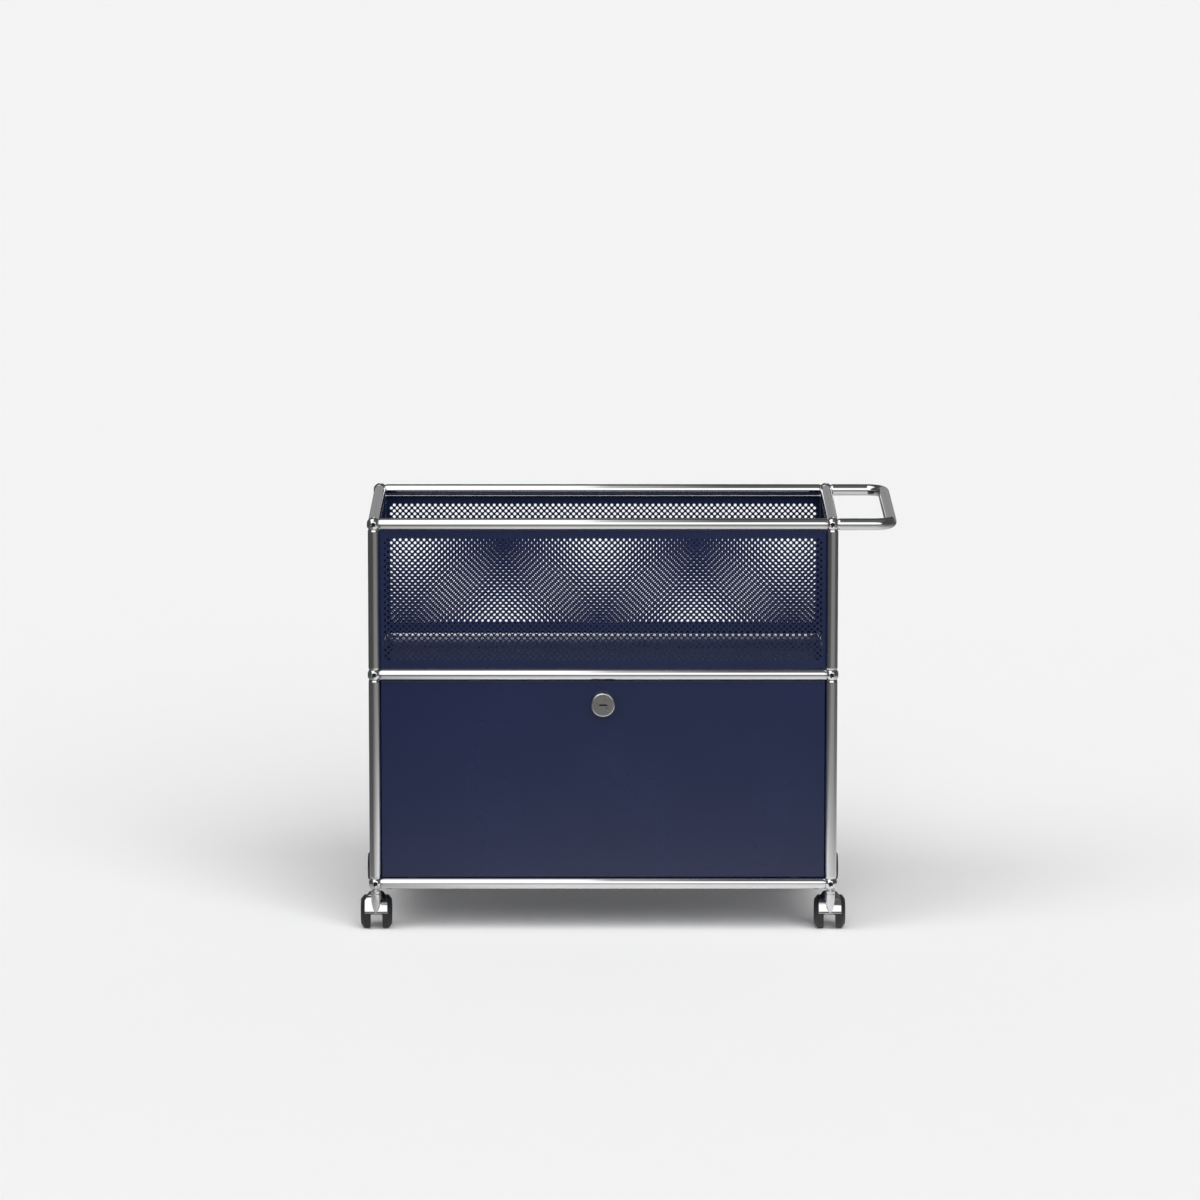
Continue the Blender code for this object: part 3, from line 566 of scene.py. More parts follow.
# %% Push handle
HANDLE_BEND = 0.028           # radius of each bend's centre line
BEND_RINGS = 26


def carried_tube(path, radii):
    """Tube round a level path: ring i is path_i + r_i (cos a z + sin a n_i), with n_i level and square
    to the path."""
    path = np.asarray(path, float)
    along = np.gradient(path, axis=0)
    along /= np.linalg.norm(along, axis=1)[:, None]
    across = np.cross(along, (0.0, 0.0, 1.0))
    angle = np.linspace(0.0, math.tau, TUBE_FACETS, endpoint=False)
    up = np.array((0.0, 0.0, 1.0))
    ring = np.cos(angle)[None, :, None] * up + np.sin(angle)[None, :, None] * across[:, None, :]
    return path[:, None, :] + np.asarray(radii)[:, None, None] * ring


def make_handle():
    """Half of the U is laid out from its seat, then mirrored; the bore closes the wall."""
    low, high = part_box("push_handle")
    start_x = low[0]
    front_y, back_y = low[1] + tube_radius, high[1] - tube_radius
    grip_x, height = high[0] - tube_radius, middle("push_handle")[2]
    narrowing, cone = TUBE_END[:, 0], TUBE_END[:, 1]
    bend = rounded_corner((grip_x - HANDLE_BEND, front_y + HANDLE_BEND), HANDLE_BEND, -90.0, 0.0, BEND_RINGS)
    half = np.concatenate([np.stack([start_x + cone, 0 * cone + front_y], -1), bend])
    other = half[::-1] * (1.0, -1.0) + (0.0, front_y + back_y)
    flat = np.concatenate([half, other])
    path = np.column_stack([flat, np.full(len(flat), height)])
    radii = np.full(len(path), tube_radius)
    radii[:len(narrowing)] -= narrowing
    radii[-len(narrowing):] -= narrowing[::-1]
    outer = carried_tube(path, radii)
    inner = carried_tube(path, np.full(len(path), tube_radius - TUBE_WALL))[::-1]
    rings = np.concatenate([outer, inner])
    shell = (rings.reshape(-1, 3), [grid_faces(len(rings), TUBE_FACETS, wrap_rows=True, wrap_columns=True)])
    return new_piece("push_handle_skin", shell, chrome, "frame", ["push_handle"])


make_handle()
print("handle reach", round(extent("push_handle")[0], 4))

# %% [markdown]
# A ball joint is a sphere with a threaded hole towards every side that has no tube.
# Cutting holes with a Boolean leaves slivers that show in polished metal.  Instead the sphere is
# six patches, one towards each axis, like a cube blown up to a ball.  In an open patch the rings
# run from the hole's rim outwards, so the faces follow the hole.

# %% Balls
BALL_RADIUS = 0.0115
PATCH_EDGE = 14               # faces along one edge of a patch
PATCH_RINGS = 9
THREAD_RADIUS = 0.00325
THREAD_PITCH = 0.001
THREAD_RELIEF = 0.00028
THREAD_BOTTOM = 0.0075        # hole's floor from the ball's centre
THREAD_ROWS = 30
COUNTERSINK = 0.0009
BALL_CRISP = math.radians(40.0)


def square_outline(steps):
    """Border of the square from -1 to 1, steps faces along each edge, anticlockwise from (1, -1)."""
    run = np.linspace(-1.0, 1.0, steps, endpoint=False)
    one = np.ones(steps)
    return np.concatenate([np.stack([one, run], -1), np.stack([-run, one], -1),
                           np.stack([-one, -run], -1), np.stack([run, -one], -1)])


def patch_on_sphere(with_hole):
    """Patch of a ball towards +Z: points between the cube's square border and its middle, pushed out
    to the sphere by dividing by their length; with a hole, the inner rim is the hole's circle."""
    border = square_outline(PATCH_EDGE)
    angle = np.arctan2(border[:, 1], border[:, 0])
    circle = np.stack([np.cos(angle), np.sin(angle)], -1)
    rim = THREAD_RADIUS + COUNTERSINK
    rim_on_cube = rim / math.sqrt(BALL_RADIUS ** 2 - rim ** 2) if with_hole else 0.0
    share = np.linspace(0.0, 1.0, PATCH_RINGS)[:, None, None]
    flat = (1.0 - share) * circle * max(rim_on_cube, 1e-9) + share * np.tan(border * math.pi / 4)
    cube = np.concatenate([flat, np.ones((*flat.shape[:2], 1))], -1)
    rings = BALL_RADIUS * cube / np.linalg.norm(cube, axis=-1)[..., None]
    if with_hole:
        mouth = math.sqrt(BALL_RADIUS ** 2 - rim ** 2)
        depth = np.linspace(mouth - COUNTERSINK, THREAD_BOTTOM, THREAD_ROWS)[:, None]
        turn = depth / THREAD_PITCH - angle / math.tau
        radius = THREAD_RADIUS + THREAD_RELIEF * (np.abs((turn % 1.0) * 2 - 1.0) - 0.5)
        radius[0] = THREAD_RADIUS
        wall = np.stack([radius * np.cos(angle), radius * np.sin(angle), depth + 0 * radius], -1)
        drill_point = np.zeros((1, len(angle), 3)) + (0.0, 0.0, THREAD_BOTTOM - THREAD_RADIUS / 3)
        rings = np.concatenate([drill_point, wall[::-1], rings])
    return rings


def ball_shell(open_axes):
    """Ball round the origin with a hole towards each open axis."""
    shells = []
    for axis in ((1, 0, 0), (-1, 0, 0), (0, 1, 0), (0, -1, 0), (0, 0, 1), (0, 0, -1)):
        rings = patch_on_sphere(axis in open_axes)
        aim_matrix = Vector((0.0, 0.0, 1.0)).rotation_difference(Vector(axis)).to_matrix().to_4x4()
        shell = (rings.reshape(-1, 3), [grid_faces(len(rings), rings.shape[1], wrap_columns=True)])
        shells.append(placed(shell, aim_matrix))
    return join_shells(*shells)


# %% [markdown]
# Under each of the four lowest balls a stem with a round collar carries a caster.
# Two cylinders would meet in a hard line.  The stem is one turned profile instead, and the
# collar's edges are small arcs, because a bright line of light runs round such an edge.

# %% Caster stems
COLLAR_RADIUS = 0.00725
COLLAR_TOP = 0.0122           # below the ball's centre
COLLAR_HEIGHT = 0.0056
COLLAR_EDGE = 0.0006
STEM_RADIUS = 0.004
STEM_ROOT = 0.002             # how far the stem starts inside the ball
STEM_LENGTH = 0.021
STEM_FACETS = 48


def stem_shell():
    """Stem below a ball with its round collar, from (radius, height) below the ball's centre."""
    root, bottom = STEM_ROOT - BALL_RADIUS, COLLAR_TOP + COLLAR_HEIGHT
    edge_x = COLLAR_RADIUS - COLLAR_EDGE
    upper = rounded_corner((edge_x, -COLLAR_TOP - COLLAR_EDGE), COLLAR_EDGE, 90.0, 0.0, 5)
    lower = rounded_corner((edge_x, -bottom + COLLAR_EDGE), COLLAR_EDGE, 0.0, -90.0, 5)
    profile = np.concatenate([[(0.0, root), (STEM_RADIUS, root), (STEM_RADIUS, -COLLAR_TOP)], upper, lower,
                              [(STEM_RADIUS, -bottom), (STEM_RADIUS, -bottom - STEM_LENGTH),
                               (0.0, -bottom - STEM_LENGTH)]])
    return turned(profile, STEM_FACETS)


# %% [markdown]
# Now the balls go to their places on the grid.
# Each has holes where another tube could be added: in depth always, to the side except where the
# handle seats, and upwards on the top level.  The faces inside a hole get the dull finish, darkened as
# painted shade.

# %% Balls in their places
OUTWARD_SIGN = {"front": -1, "back": 1, "left": -1, "right": 1}


def open_sides(level, depth, side):
    """Directions in which a ball carries no tube."""
    sides = [(0, OUTWARD_SIGN[depth], 0)]
    if not (level == "top" and side == "right"):
        sides.append((OUTWARD_SIGN[side], 0, 0))
    if level == "top":
        sides.append((0, 0, 1))
    return sides


balls = [(level, depth, side) for level in LEVELS for depth in DEPTHS for side in SIDES]
for level, depth, side in balls:
    centre = np.array((grid_x[side], grid_y[depth], grid_z[level]))
    place = Matrix.Translation(centre)
    node = f"ball_{depth}_{side}_{level}"
    shell = placed(ball_shell(open_sides(level, depth, side)), place)
    ball = new_piece(f"{node}_skin", shell, chrome, "frame", [node], BALL_CRISP)
    # The faces inside each hole get the near-black finish: painted shade.
    refinish(ball, painted_recess_shade, lambda at: np.linalg.norm(at - centre, axis=1) < BALL_RADIUS - COUNTERSINK)
    if level == "bottom":
        new_piece(f"stem_{depth}_{side}", placed(stem_shell(), place), chrome, "frame")
print("balls", len(balls))

# %% [markdown]
# The panels are flat sheet with the edges folded back, like shallow trays.
# A plane with Solidify and Bevel comes close, but its bevel would round every corner alike.
# Sheet can't be folded sharp, so the wall's cross-section, round the fold and back inside, is
# carried round the panel's outline, and a flat face closes it.

# %% Folded edge
SHEET = 0.0008
FOLD_RADIUS = 0.0012
FOLD_STEPS = 7
HOLDING_STRIP = 0.0002        # narrow strip that keeps the fold's shading off the flat face


def edge_profile(depth):
    """(inset, depth) points of the folded edge: face, fold, turned edge, rim, and back inside."""
    outer = rounded_corner((FOLD_RADIUS, FOLD_RADIUS), FOLD_RADIUS, 270.0, 180.0, FOLD_STEPS)
    inner = rounded_corner((FOLD_RADIUS, FOLD_RADIUS), FOLD_RADIUS - SHEET, 180.0, 270.0, FOLD_STEPS)
    strip = HOLDING_STRIP
    flat = FOLD_RADIUS + strip
    rows = [[(flat, 0.0)], outer, [(0.0, flat), (0.0, depth - strip), (0.0, depth)],
            [(SHEET, depth), (SHEET, depth - strip), (SHEET, flat)], inner, [(flat, SHEET)]]
    return np.concatenate([np.asarray(row, float) for row in rows])


def folded_edge(outline, half_width, half_height, depth):
    """Edge carried round a rectangle: each outline point (u, v) with u or v at -1 or 1 goes to
    (u (half width - inset), depth, v (half height - inset)) for every point of the profile."""
    profile = edge_profile(depth)
    inset, back = profile[:, 0][:, None], profile[:, 1][:, None]
    u, v = outline[:, 0][None, :], outline[:, 1][None, :]
    return np.stack([u * (half_width - inset), back + 0 * u, v * (half_height - inset)], -1)


# %% [markdown]
# The panels round the open bay differ only in their face, which has thousands of punched holes.
# A picture of holes with transparency has no thickness, and a Boolean with thousands of cutters
# takes minutes.  The holes are 5 mm wide on a diagonal pitch of 7 mm, so each gets a diamond of
# sheet whose corners it shares with its neighbours.  One small pattern of triangles, repeated by
# array arithmetic, then makes the whole field in a moment.

# %% Punched face
HOLE_RADIUS = 0.0025
HALF_PITCH = 0.007 / math.sqrt(2.0)
HOLE_CORNERS = 12             # a multiple of 4, with 3 faces in each quarter


def hole_counts(half_width, half_height):
    """Even numbers of half pitches from the middle to the last hole, across and up, as many as the
    flat part of the sheet between the folds can take."""
    margin = FOLD_RADIUS + HOLDING_STRIP
    across = int((half_width - margin) / HALF_PITCH) - 1
    up = int((half_height - margin) / HALF_PITCH) - 1
    return across - across % 2, up - up % 2


def lattice_outline(across, up):
    """Corners of the diamonds along the field's border, anticlockwise from its lower right."""
    i = np.arange(-across - 1, across + 1, 2)
    j = np.arange(-up - 1, up + 1, 2)
    right = np.stack([np.full(len(j), across + 1), j], -1)
    top = np.stack([-i, np.full(len(i), up + 1)], -1)
    left = np.stack([np.full(len(j), -across - 1), -j], -1)
    bottom = np.stack([i, np.full(len(i), -up - 1)], -1)
    return np.concatenate([right, top, left, bottom])


def punched_faces(across, up):
    """Sheet of diamonds at whole numbers (i, j): holes where i + j is odd, corners where it is even.
    Returns flat points, triangles between corners and rims, rim numbers, and border corner numbers."""
    i, j = np.meshgrid(np.arange(-across - 1, across + 2), np.arange(-up - 1, up + 2), indexing="ij")
    number = np.arange(i.size).reshape(i.shape)
    odd = ((i + j) % 2 == 1) & (abs(i) <= across) & (abs(j) <= up)
    hole_i, hole_j = i[odd], j[odd]
    row, column = hole_i + across + 1, hole_j + up + 1
    corner = np.stack([number[row + 1, column], number[row, column + 1],
                       number[row - 1, column], number[row, column - 1]], -1)
    angle = math.tau * np.arange(HOLE_CORNERS) / HOLE_CORNERS
    circle = HOLE_RADIUS * np.stack([np.cos(angle), np.sin(angle)], -1)
    centres = HALF_PITCH * np.stack([hole_i, hole_j], -1)
    rims = (centres[:, None, :] + circle[None, :, :]).reshape(-1, 2)
    rim = i.size + np.arange(len(rims)).reshape(-1, HOLE_CORNERS)
    triangles = []
    step = HOLE_CORNERS // 4
    for quarter in range(4):
        here, following = corner[:, quarter], corner[:, (quarter + 1) % 4]
        r = [rim[:, (quarter * step + k) % HOLE_CORNERS] for k in range(step + 1)]
        triangles += [(here, r[1], r[0]), (here, following, r[1]),
                      (following, r[2], r[1]), (following, r[3], r[2])]
    border_i = np.arange(-across - 1, across + 1, 2)
    border_j = np.arange(-up - 1, up + 1, 2)
    wide, high = border_i + across + 1, border_j + up + 1
    top, far = 2 * up + 2, 2 * across + 2
    triangles += [(number[wide, top], number[wide + 2, top], number[wide + 1, top - 1]),
                  (number[wide, 0], number[wide + 1, 1], number[wide + 2, 0]),
                  (number[far, high], number[far - 1, high + 1], number[far, high + 2]),
                  (number[0, high], number[0, high + 2], number[1, high + 1])]
    faces = np.concatenate([np.stack(three, -1) for three in triangles])
    points = np.concatenate([HALF_PITCH * np.stack([i.ravel(), j.ravel()], -1), rims])
    outline = lattice_outline(across, up)
    border = number[outline[:, 0] + across + 1, outline[:, 1] + up + 1]
    return points, faces, rim, border


print("half pitch", round(HALF_PITCH, 5), "m")

# %% [markdown]
# A punched tray has the pattern twice, once on each side of the sheet.
# Solidify would make the second side too, but it would also double the folded edge.  Here each
# hole's wall joins its two rims, and a strip joins the pattern's border to the fold.

# %% Punched tray
def used_points(points, face_groups):
    """The same shell without the points that no face uses."""
    used = np.unique(np.concatenate([faces.ravel() for faces in face_groups]))
    renumber = np.full(len(points), -1)
    renumber[used] = np.arange(len(used))
    return points[used], [renumber[faces] for faces in face_groups]


def punched_panel(half_width, half_height, depth):
    """Punched tray: front face at depth 0 and back face at the sheet's thickness, hole walls between
    them, and the folded edge round both."""
    across, up = hole_counts(half_width, half_height)
    flat, triangles, rim, border = punched_faces(across, up)
    count = len(flat)
    front = np.column_stack([flat[:, 0], np.zeros(count), flat[:, 1]])
    back = np.column_stack([flat[:, 0], np.full(count, SHEET), flat[:, 1]])
    following = np.roll(rim, -1, axis=1)
    walls = np.stack([rim, following, following + count, rim + count], -1).reshape(-1, 4)
    outline = lattice_outline(across, up) / (across + 1.0, up + 1.0)
    edge = folded_edge(outline, half_width, half_height, depth)
    rows, columns = edge.shape[:2]
    first = 2 * count
    edge_faces = grid_faces(rows, columns, wrap_columns=True, first=first)
    turn = np.roll(np.arange(columns), -1)
    own = np.arange(columns)
    front_strip = np.stack([border[own], border[turn], first + turn, first + own], -1)
    last = first + (rows - 1) * columns
    back_strip = np.stack([last + own, last + turn, border[turn] + count, border[own] + count], -1)
    points = np.concatenate([front, back, edge.reshape(-1, 3)])
    groups = [np.concatenate([triangles, triangles[:, ::-1] + count]),
              np.concatenate([walls, edge_faces, front_strip, back_strip])]
    return used_points(points, groups), len(rim)


# %% [markdown]
# The cabinet's panels and both shelves are the same trays with a plain face.
# They need no pattern: four corners carry the folded edge, and one face closes each side.

# %% Plain face
def plain_panel(half_width, half_height, depth):
    """Plain tray: the folded edge with one flat face outside and one inside."""
    outline = np.array([(1.0, -1.0), (1.0, 1.0), (-1.0, 1.0), (-1.0, -1.0)])
    edge = folded_edge(outline, half_width, half_height, depth)
    rows = len(edge)
    faces = grid_faces(rows, 4, wrap_columns=True)
    caps = np.array([[0, 1, 2, 3], [4 * rows - 1, 4 * rows - 2, 4 * rows - 3, 4 * rows - 4]])
    return edge.reshape(-1, 3), [np.concatenate([faces, caps])]


# %% [markdown]
# Every tray is worked out lying in the same way, and then turned to look outwards.
# Its size comes from its node's box, so no number is written twice, and its face lies on the
# outer side of that box, flush with the solid that it stands for.

# %% Panels in their places
def panel_matrix(node, outward):
    """Where a tray goes: its face looks outward and lies on the outer side of the node's box."""
    direction = Vector(outward)
    if abs(direction.z) > 0.5:
        turn = Matrix.Rotation(math.radians(-90.0 if direction.z > 0 else 90.0), 4, "X")
    else:
        turn = Matrix.Rotation(math.atan2(direction.y, direction.x) + math.pi / 2, 4, "Z")
    size, centre = extent(node), middle(node)
    axis = int(np.argmax(np.abs(outward)))
    centre[axis] += outward[axis] * size[axis] / 2
    return Matrix.Translation(centre) @ turn


def panel_sizes(node, outward):
    """Half width, half height and depth of a panel, read from its node's box."""
    size = extent(node)
    if abs(outward[2]):
        return size[0] / 2, size[1] / 2, size[2]
    if abs(outward[1]):
        return size[0] / 2, size[2] / 2, size[1]
    return size[1] / 2, size[2] / 2, size[0]


OUTWARD = {"front": (0, -1, 0), "back": (0, 1, 0), "left": (-1, 0, 0), "right": (1, 0, 0)}
holes = 0
for side, outward in OUTWARD.items():
    node = f"perforated_panel_{side}"
    shell, count = punched_panel(*panel_sizes(node, outward))
    new_piece(f"{node}_sheet", placed(shell, panel_matrix(node, outward)), powder_coat, "frame", [node])
    holes += count
print("punched holes", holes)

plain = [(f"cabinet_panel_{side}", OUTWARD[side]) for side in ("back", "left", "right")]
plain += [("shelf_middle", (0, 0, 1)), ("shelf_bottom", (0, 0, -1))]
for node, outward in plain:
    shell = plain_panel(*panel_sizes(node, outward))
    new_piece(f"{node}_sheet", placed(shell, panel_matrix(node, outward)), powder_coat, "frame", [node])
print("plain panels", len(plain))

# %% [markdown]
# The lock is a turned knob on the door, with a plug in it that turns.
# Both are round, so both start as turned shapes with the same axis.  What they share is measured
# first: the door's face, and the knob's place and radius, from their nodes' boxes.

# %% Lock sizes
PLUG_RADIUS = 0.0075
PLUG_GAP = 0.00012
PLUG_EDGE = 0.00015
SLOT_LENGTH = 0.013
SLOT_WIDTH = 0.0027
SLOT_DEPTH = 0.004
SPINDLE_RADIUS = 0.0035
SPINDLE_GAP = 0.0003          # between the plug's shoulder and the cam
KNOB_FLAT_END = 0.0004        # the flat face ends this far before the soft edge
KNOB_BACK = 0.0003            # gap between the knob's back and the door
BARREL_RADIUS = 0.0105
NUT_RADIUS = 0.015
NUT_DEPTH = 0.0011            # nut's front behind the door's face
LOCK_FACETS = 96

knob_low, knob_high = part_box("lock_knob")
knob_radius = (knob_high[0] - knob_low[0]) / 2
lock_x, lock_z = middle("lock_knob")[0], middle("lock_knob")[2]
door_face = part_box("door")[0][1]
lock_place = Matrix.Translation((lock_x, door_face, lock_z))
print("knob radius", round(knob_radius, 4))

# %% [markdown]
# The knob is a disc with a soft edge, on a barrel that goes through the door to a nut.
# A cylinder with a bevel has no barrel and no bore.  One profile draws them all, from the bore
# over the face, round the edge and back along the barrel.

# %% Knob
def knob_shell():
    """Knob, barrel and nut as (radius, distance in front of the door), turned round the lock's axis."""
    prominence = door_face - knob_low[1]
    back = door_face - knob_high[1]
    soft = KNOB_SOFT_EDGE
    bore = PLUG_RADIUS + PLUG_GAP
    face = [(bore, prominence - PLUG_EDGE), (bore + PLUG_EDGE, prominence),
            (knob_radius - soft - KNOB_FLAT_END, prominence)]
    rim = rounded_corner((knob_radius - soft, prominence - soft), soft, 90.0, 0.0, 13)
    rear = [(knob_radius, 0.0012), (knob_radius - 0.0005, KNOB_BACK), (BARREL_RADIUS, KNOB_BACK)]
    barrel = [(BARREL_RADIUS, -NUT_DEPTH), (NUT_RADIUS, -NUT_DEPTH), (NUT_RADIUS, back), (bore, back)]
    profile = np.concatenate([face, rim, rear, barrel])
    return turned(profile * (1.0, -1.0), LOCK_FACETS, "Y")


new_piece("lock_knob_face", placed(knob_shell(), lock_place), satin_nickel, "door", ["lock_knob"])
print("knob points", len(knob_shell()[0]))

# %% [markdown]
# The plug shows a coin slot.
# The slot could be a dark mark painted on, but a real one catches light when the door drops.  So
# the plug's face is a set of rings that change from the plug's circle to the slot's long outline,
# and then go straight down to the slot's floor.

# %% Plug with its coin slot
def slot_outline():
    """Long slot with round ends: where the outline faces angle a, it is (reach sign(sin a), 0) plus
    the end's radius times (sin a, cos a), so the two long edges come out straight."""
    angle = np.linspace(0.0, math.tau, LOCK_FACETS, endpoint=False)
    end = SLOT_WIDTH / 2
    reach = SLOT_LENGTH / 2 - end
    side = np.sign(np.round(np.sin(angle), 9))
    return np.stack([reach * side + end * np.sin(angle), end * np.cos(angle)], -1)


def plug_shell():
    """Plug as rings: spindle end, shoulder, skin, face edge, slot rim, slot floor."""
    low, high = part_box("lock_plug")
    front, back = low[1] - door_face, high[1] - door_face
    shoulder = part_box("lock_cam")[0][1] - door_face - SPINDLE_GAP
    angle = np.linspace(0.0, math.tau, LOCK_FACETS, endpoint=False)
    circle = np.stack([np.sin(angle), np.cos(angle)], -1)
    slot = slot_outline()
    rows = [(0.0 * circle, back), (SPINDLE_RADIUS * circle, back), (SPINDLE_RADIUS * circle, shoulder),
            (PLUG_RADIUS * circle, shoulder), (PLUG_RADIUS * circle, front + PLUG_EDGE),
            ((PLUG_RADIUS - PLUG_EDGE) * circle, front), (slot, front), (slot, front + SLOT_DEPTH),
            (0.2 * slot, front + SLOT_DEPTH), (0.0 * slot, front + SLOT_DEPTH)]
    rings = np.stack([np.insert(ring, 1, y, axis=1) for ring, y in rows])
    return rings.reshape(-1, 3), [grid_faces(len(rows), LOCK_FACETS, wrap_columns=True)]


def inside_slot(at):
    """Test for points below the plug's face, within the slot's length, width and depth."""
    depth, aside, up = at[:, 1] - knob_low[1], abs(at[:, 0] - lock_x), abs(at[:, 2] - lock_z)
    return (depth > 0.0002) & (depth < SLOT_DEPTH * 1.1) & (aside < SLOT_LENGTH / 2) & (up < SLOT_WIDTH / 2)


plug = new_piece("lock_plug_face", placed(plug_shell(), lock_place), satin_nickel, "lock", ["lock_plug"])
# The slot's walls and floor get the near-black finish: painted shade.
refinish(plug, painted_recess_shade, inside_slot)
print("plug points", len(plug_shell()[0]))

# %% [markdown]
# Each caster is a cast and chromed body with two dark wheels.
# A socket turns on the stem below the ball, and a neck, a thin rib and a web join it to the axle.
# Over the wheels lies a hood with an even gap, and a crown carries it up to the neck.  Everything
# is worked out once, seen from the ball above, and then moved to the four corners, because four
# separate models would soon differ.

# %% Caster sizes
AXLE = np.array(joints["caster_front_left_wheel_left_spin"]["pos_m"]) - np.array(
    joints["caster_front_left_swivel"]["pos_m"])
TRAIL, DROP = AXLE[1], -AXLE[2]
WHEEL_RADIUS = 0.0278
WHEEL_WIDTH = 0.0153
WHEEL_SPACING = 0.0206        # between the wheels' inner sides
HOOD_INNER = WHEEL_RADIUS + 0.0012
HOOD_OUTER = HOOD_INNER + 0.002
HOOD_WIDTH = 0.0376
HOOD_SWEEP = (4.5, 50.0)      # degrees up from the front
HUB_RADIUS = 0.0062
SOCKET_GAP = 0.0003
SOCKET_TOP = COLLAR_TOP + COLLAR_HEIGHT + SOCKET_GAP
SOCKET_LENGTH = 0.0140
SOCKET_TAPER = 0.0179
SOCKET_BOTTOM = SOCKET_TOP + SOCKET_LENGTH + SOCKET_TAPER
print("trail", round(float(TRAIL), 4), "drop", round(float(DROP), 4))

# %% [markdown]
# Two helpers serve every part of a caster.
# Cast edges are never sharp, so a corner of a section gives way to a short curve, as a Bevel
# would do it, but on a handful of points.  And since hood, crown and web all follow the wheels,
# their points are worked out as a radius and an angle round the axle.

# %% Curves round corners and round the axle
def short_curve(before, corner, after, softness, steps):
    """Curve in place of a corner, from a softness before it to a softness after it:
    (1 - t)^2 a + 2 t (1 - t) corner + t^2 b.  Takes one (1, 2) corner or many (n, 1, 2) at once."""
    def towards(other):
        """Point at the softness from the corner, on the way to its neighbour."""
        return corner + softness * (other - corner) / np.linalg.norm(other - corner, axis=-1, keepdims=True)

    t = np.linspace(0.0, 1.0, steps)[:, None]
    return (1 - t) ** 2 * towards(before) + 2 * t * (1 - t) * corner + t ** 2 * towards(after)


def soft_section(corners, softness):
    """Closed outline of (x, radius) corners, with a short curve in place of each."""
    corners = np.asarray(corners, float)[:, None]
    before, after = np.roll(corners, 1, axis=0), np.roll(corners, -1, axis=0)
    return short_curve(before, corners, after, softness, 4).reshape(-1, 2)


def round_axle(x, radius, degrees):
    """Points (x, y, z) at a radius from the axle, turned up from the front by an angle e:
    y = trail - r cos e and z = r sin e - drop."""
    angle = np.radians(degrees)
    y, z = TRAIL - radius * np.cos(angle), radius * np.sin(angle) - DROP
    return np.stack(np.broadcast_arrays(x, y, z), -1)


def axle_arc(radius, start, end, steps):
    """(y, z) points on a circle round the axle."""
    return round_axle(0.0, radius, np.linspace(start, end, steps))[:, 1:]


hood_lip = axle_arc(HOOD_INNER, HOOD_SWEEP[0], HOOD_SWEEP[0], 1)[0]
print("hood's lip, y and z from the ball", np.round(hood_lip, 4))

# %% [markdown]
# The hood is the bright bow that one sees first from the front.
# A bent plate with square edges would look stamped, but this one is cast and polished.  Its
# section has soft corners, and at both ends it draws in by a quarter circle, so the bow ends in
# a rounded lip.

# %% Hood
HOOD_CORNER = 0.0007          # softness of the section's corners
HOOD_LIP = 0.0006             # and of the bow's two ends


def swept(section, start, end, softness, steps=40):
    """Section of (x, radius) carried round the axle from start to end, in degrees up from the front.
    At s (1 - cos e) from each end it is drawn in by s (1 - sin e), a quarter circle of softness s."""
    centre = section.mean(0)
    reach = np.abs(section - centre).max(0)
    ease = np.radians(np.linspace(0.0, 90.0, 5))
    away = np.degrees(softness * (1 - np.cos(ease)) / centre[1])
    inset = softness * (1 - np.sin(ease))
    angle = np.concatenate([start + away, np.linspace(start, end, steps)[1:-1], (end - away)[::-1]])
    inset = np.concatenate([inset, np.zeros(steps - 2), inset[::-1]])
    rings = centre + (section - centre)[None] * (1 - inset[:, None, None] / reach)
    rings = np.concatenate([rings[:1] * 0 + centre, rings, rings[:1] * 0 + centre])
    angle = np.concatenate([angle[:1], angle, angle[-1:]])[:, None]
    points = round_axle(rings[..., 0], rings[..., 1], angle)
    return points.reshape(-1, 3), [grid_faces(*points.shape[:2], wrap_columns=True)]


def hood_shell():
    """Flat rectangle between the hood's two radii, with soft corners, swept over the wheels."""
    half = HOOD_WIDTH / 2
    corners = [(-half, HOOD_INNER), (half, HOOD_INNER), (half, HOOD_OUTER), (-half, HOOD_OUTER)]
    return swept(soft_section(corners, HOOD_CORNER), *HOOD_SWEEP, HOOD_LIP)


print("hood points", len(hood_shell()[0]))

# %% [markdown]
# Behind the hood the casting narrows and rises into a crown.
# A loft between a few sketched sections could wave in between.  Here one arch is carried round
# the axle while two short tables set its width and its rise at each angle.  The arch is flatter
# than half an ellipse, which gives the crown its flat back and tight shoulders.

# %% Crown
CROWN_SWEEP = (46.0, 140.0)
CROWN_HEIGHT = 0.0057         # above the hood's inner side
# (degrees up from the front, metres)
CROWN_WIDTHS = ((46.0, 0.0366), (66.0, 0.0340), (80.0, 0.0290), (95.0, 0.0225), (140.0, 0.0190))
CROWN_RISES = ((46.0, 0.0019), (66.0, 0.0020), (76.0, 0.0032), (88.0, 0.0054), (100.0, CROWN_HEIGHT),
               (118.0, CROWN_HEIGHT), (140.0, 0.0030))
CROWN_FLATNESS = 0.4          # below 1, the flatter the arch and the tighter its shoulders
CROWN_CAP = 0.001             # height at which the crown's ends close


